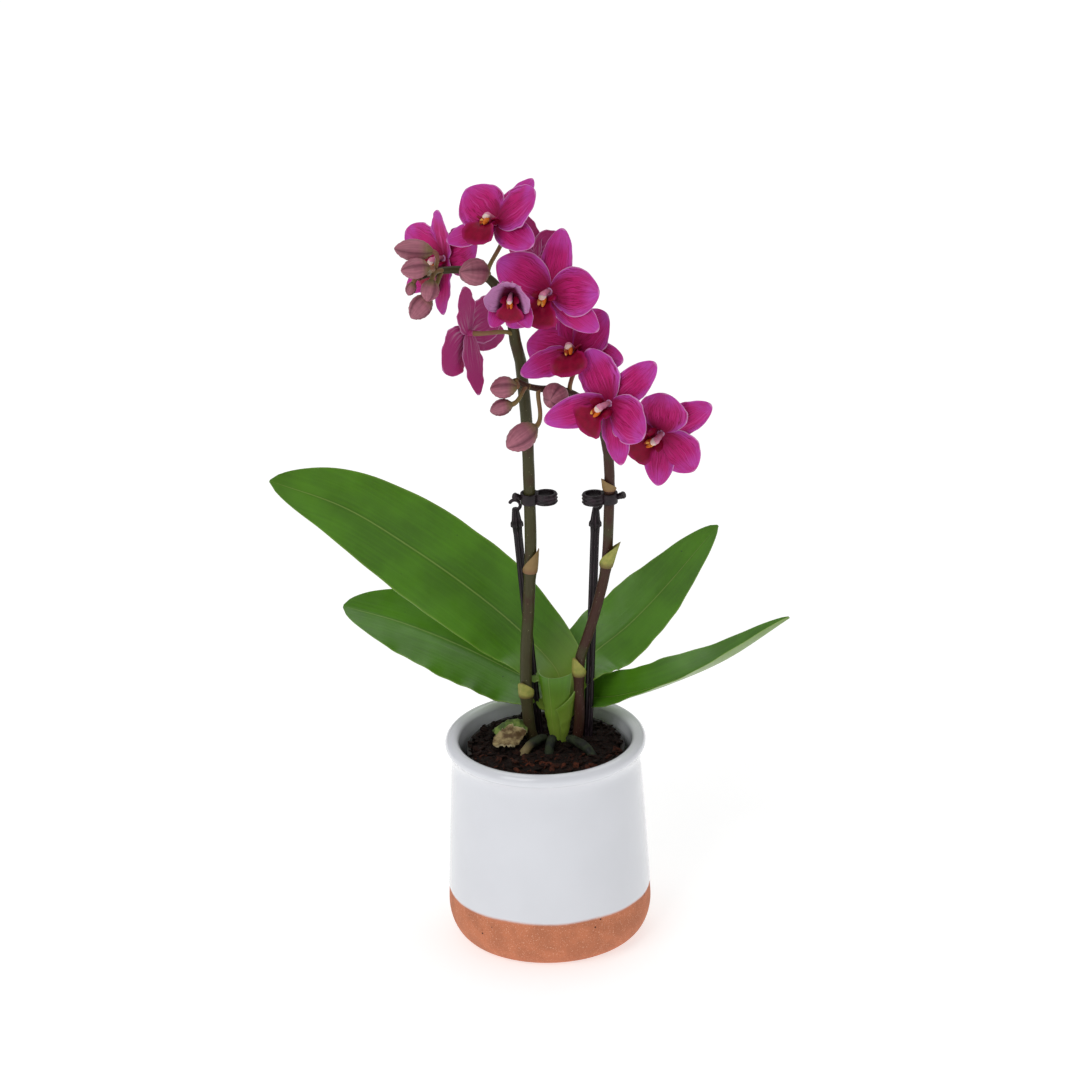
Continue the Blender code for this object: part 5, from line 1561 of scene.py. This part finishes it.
def add_band(work, centre, radius, wall, stretch, rib=0.3, ridges=0):
    """A flat band bent into a ring, with rounded edges and, where asked, ridges round it."""
    height, corner = CLIP_HEIGHT, 0.3 * MM
    section = []
    for start, x, z in ((-90, 1, -1), (0, 1, 1), (90, -1, 1), (180, -1, -1)):
        middle = (x * (0.5 * wall - corner), z * (0.5 * height - corner))
        section += arc(middle, corner, start, start + 90, 3)
        if x == 1 and z == -1:
            steps = 24 if ridges else 1
            for k in range(1, steps):
                level = (0.5 * height - corner) * (2 * k / steps - 1)
                bulge = 0.28 * MM * max(0.0, cos(2 * pi * ridges * (level / height))) ** 2
                section.append((0.5 * wall + bulge, level))
    loops = []
    for k in range(72):
        turn = 2 * pi * k / 72
        out = Vector((cos(turn), sin(turn), 0))
        loop = []
        for x, z in section:
            place = out * (radius - 0.5 * wall + x)
            place.x *= stretch
            loop.append(work.point(centre + place + UP * z, rib=rib if x > 0 else 0.0))
        loops.append(loop)
    work.join_rows(loops + loops[:1], closed=True)


def make_clips():
    """Stem clips: a band round the stem, a ridged finger loop on one side and a thumb tab on the other."""
    finish = moulded_plastic("Moulded polypropylene clip")
    for side, hand in (("left", 1), ("right", -1)):
        centre = point_at_height(stem_path(side), MIX_TOP + CLIP_LEVEL * MM)[0]
        bore = STEM_RADII[side] + CLIP_CLEARANCE
        loop = centre + Vector((hand * (bore + CLIP_LOOP_RADIUS), -0.5 * MM, 0))
        work = Patchwork("rib")
        add_band(work, centre, bore + CLIP_WALL, CLIP_WALL, 1.0)
        add_band(work, loop, CLIP_LOOP_RADIUS, CLIP_WALL, CLIP_LOOP_STRETCH, 0.5, 3)
        tab = centre - Vector((hand * (bore + 0.5 * CLIP_WALL), 0, 0))
        end = tab + Vector((-hand * CLIP_TAB, -1.5 * MM, 0.5 * CLIP_TAB))
        path = [tab.lerp(end, k / 10) for k in range(11)]
        girth = [MM * (1.2 + 0.05 * k + (0.12 if k % 3 == 2 else 0)) for k in range(10)]
        work.tube(path, girth + [1.4 * MM], 20, rib=0.3)
        work.build(f"stem_clip_{side}", finish, "black_plastic", f"clip_{side}")


# ================================================================ stage

CAMERA_ELEVATION = 25.4  # degrees above the horizon
CAMERA_ROLL = 1.7  # degrees
CAMERA_DISTANCE = 8.0
CAMERA_TARGET = Vector((0.0002, 0.0745, 0.157))
VIEW_WIDTH = 0.486  # what the camera sees across, at its target
SENSOR_WIDTH = 36.0  # millimetres


def make_camera():
    """A long lens from a good way off, so that the view is nearly without perspective."""
    rise, roll = radians(CAMERA_ELEVATION), radians(CAMERA_ROLL)
    level_right = Vector((1, 0, 0))
    level_up = Vector((0, sin(rise), cos(rise)))
    back = Vector((0, -cos(rise), sin(rise)))
    right = cos(roll) * level_right - sin(roll) * level_up
    up = sin(roll) * level_right + cos(roll) * level_up
    lens = bpy.data.cameras.new("camera")
    lens.sensor_fit = "HORIZONTAL"
    lens.sensor_width = SENSOR_WIDTH
    lens.lens = SENSOR_WIDTH * CAMERA_DISTANCE / VIEW_WIDTH
    lens.clip_end = 30
    camera = bpy.data.objects.new("camera", lens)
    bpy.context.scene.collection.objects.link(camera)
    place = CAMERA_TARGET + back * CAMERA_DISTANCE
    camera.matrix_world = Matrix.Translation(place) @ Matrix((right, up, back)).transposed().to_4x4()
    bpy.context.scene.camera = camera


def make_light(name, place, power, size):
    """A square lamp that looks at the middle of the plant."""
    lamp = bpy.data.lights.new(name, "AREA")
    lamp.energy = power
    lamp.size = size
    light = bpy.data.objects.new(name, lamp)
    bpy.context.scene.collection.objects.link(light)
    light.location = place
    light.rotation_euler = (Vector((0, 0, 0.15)) - light.location).to_track_quat("-Z", "Y").to_euler()


def make_stage():
    stage = settings("stage")
    make_camera()
    make_light("key", (-1.3, -1.7, 1.9), stage.key, 1.6)
    make_light("fill", (1.9, -1.0, 1.1), stage.fill, 1.6)
    make_light("top", (0.2, 0.9, 2.2), stage.top, 2.0)
    make_light("glint", (-0.45, -1.3, 1.5), stage.glint, 0.2)
    world = bpy.data.worlds.new("studio")
    world.use_nodes = True
    world.node_tree.nodes["Background"].inputs["Color"].default_value = (1, 1, 1, 1)
    world.node_tree.nodes["Background"].inputs["Strength"].default_value = stage.daylight
    bpy.context.scene.world = world
    bpy.context.scene.view_settings.view_transform = "Standard"
    floor = Patchwork()
    reach, steps = 6.0, 8
    grid = [[-reach + 2 * reach * k / steps for k in range(steps + 1)] for _ in range(steps + 1)]
    rows = [[floor.point(Vector((x, y, 0))) for x in row] for y, row in zip(grid[0], grid)]
    floor.join_rows(rows, closed=False)
    mesh = bpy.data.meshes.new("floor")
    mesh.from_pydata(floor.points, [], floor.faces)
    mesh.materials.append(lit_floor())
    sheet = bpy.data.objects.new("floor", mesh)
    bpy.context.scene.collection.objects.link(sheet)


# ================================================================ operators and panel


class ORCHID_OT_stage(bpy.types.Operator):
    """Adds the camera, the lights and the floor"""

    bl_idname = "orchid.stage"
    bl_label = "Stage"

    def execute(self, context):
        make_stage()
        return {"FINISHED"}


class ORCHID_OT_pot(bpy.types.Operator):
    """Turns the glazed cover pot"""

    bl_idname = "orchid.pot"
    bl_label = "Cover Pot"

    def execute(self, context):
        make_pot()
        return {"FINISHED"}


class ORCHID_OT_liner(bpy.types.Operator):
    """Turns the thin pot that holds the mix"""

    bl_idname = "orchid.liner"
    bl_label = "Thin Pot"

    def execute(self, context):
        make_liner()
        return {"FINISHED"}


class ORCHID_OT_mix(bpy.types.Operator):
    """Fills the thin pot with peat and bark"""

    bl_idname = "orchid.mix"
    bl_label = "Bark Mix"

    def execute(self, context):
        make_mix()
        return {"FINISHED"}


class ORCHID_OT_stem_base(bpy.types.Operator):
    """Folds the leaf sheaths round the short stem"""

    bl_idname = "orchid.stem_base"
    bl_label = "Stem Base"

    def execute(self, context):
        make_stem_base()
        return {"FINISHED"}


class ORCHID_OT_roots(bpy.types.Operator):
    """Grows the air roots"""

    bl_idname = "orchid.roots"
    bl_label = "Roots"

    def execute(self, context):
        make_roots()
        return {"FINISHED"}


class ORCHID_OT_old_leaf(bpy.types.Operator):
    """Lays the withered leaf on the mix"""

    bl_idname = "orchid.old_leaf"
    bl_label = "Withered Leaf"

    def execute(self, context):
        make_old_leaf()
        return {"FINISHED"}


class ORCHID_OT_leaves(bpy.types.Operator):
    """Shapes the four strap leaves"""

    bl_idname = "orchid.leaves"
    bl_label = "Leaves"

    def execute(self, context):
        make_leaves()
        return {"FINISHED"}


class ORCHID_OT_spikes(bpy.types.Operator):
    """Grows the two flower stems with their stalks"""

    bl_idname = "orchid.spikes"
    bl_label = "Flower Stems"

    def execute(self, context):
        make_spikes()
        return {"FINISHED"}


class ORCHID_OT_bracts(bpy.types.Operator):
    """Wraps the scales round the stems' joints"""

    bl_idname = "orchid.bracts"
    bl_label = "Stem Scales"

    def execute(self, context):
        make_bracts()
        return {"FINISHED"}


class ORCHID_OT_flowers(bpy.types.Operator):
    """Shapes the flowers: their tepals, lips and columns"""

    bl_idname = "orchid.flowers"
    bl_label = "Flowers"

    def execute(self, context):
        make_flowers()
        return {"FINISHED"}


class ORCHID_OT_buds(bpy.types.Operator):
    """Shapes the closed buds"""

    bl_idname = "orchid.buds"
    bl_label = "Buds"

    def execute(self, context):
        make_buds()
        return {"FINISHED"}


class ORCHID_OT_stakes(bpy.types.Operator):
    """Stands the ribbed stakes in the mix"""

    bl_idname = "orchid.stakes"
    bl_label = "Stakes"

    def execute(self, context):
        make_stakes()
        return {"FINISHED"}


class ORCHID_OT_clips(bpy.types.Operator):
    """Clips the bands round the stems"""

    bl_idname = "orchid.clips"
    bl_label = "Clips"

    def execute(self, context):
        make_clips()
        return {"FINISHED"}


OPERATORS = (
    ORCHID_OT_stage,
    ORCHID_OT_pot,
    ORCHID_OT_liner,
    ORCHID_OT_mix,
    ORCHID_OT_stem_base,
    ORCHID_OT_roots,
    ORCHID_OT_old_leaf,
    ORCHID_OT_leaves,
    ORCHID_OT_spikes,
    ORCHID_OT_bracts,
    ORCHID_OT_flowers,
    ORCHID_OT_buds,
    ORCHID_OT_stakes,
    ORCHID_OT_clips,
)

SETTINGS = {
    "pot": PotSettings,
    "mix": MixSettings,
    "leaf": LeafSettings,
    "spike": SpikeSettings,
    "flower": FlowerSettings,
    "bud": BudSettings,
    "plastic": PlasticSettings,
    "stage": StageSettings,
}


class ORCHID_PT_panel(bpy.types.Panel):
    """The orchid's pieces and their settings"""

    bl_idname = "ORCHID_PT_panel"
    bl_label = "Potted Orchid"
    bl_space_type = "VIEW_3D"
    bl_region_type = "UI"
    bl_category = "Orchid"

    def draw(self, context):
        for operator in OPERATORS:
            self.layout.operator(operator.bl_idname)
        for name in SETTINGS:
            group = settings(name)
            box = self.layout.box()
            box.label(text=name.capitalize())
            for value in group.__annotations__:
                box.prop(group, value)


def register():
    for group in SETTINGS.values():
        bpy.utils.register_class(group)
    for name, group in SETTINGS.items():
        setattr(bpy.types.Scene, "orchid_" + name, PointerProperty(type=group))
    for operator in OPERATORS:
        bpy.utils.register_class(operator)
    bpy.utils.register_class(ORCHID_PT_panel)


def unregister():
    bpy.utils.unregister_class(ORCHID_PT_panel)
    for operator in reversed(OPERATORS):
        bpy.utils.unregister_class(operator)
    for name, group in SETTINGS.items():
        delattr(bpy.types.Scene, "orchid_" + name)
        bpy.utils.unregister_class(group)


def main():
    register()
    for operator in OPERATORS:
        family, name = operator.bl_idname.split(".")
        getattr(getattr(bpy.ops, family), name)()


if __name__ == "__main__":
    main()
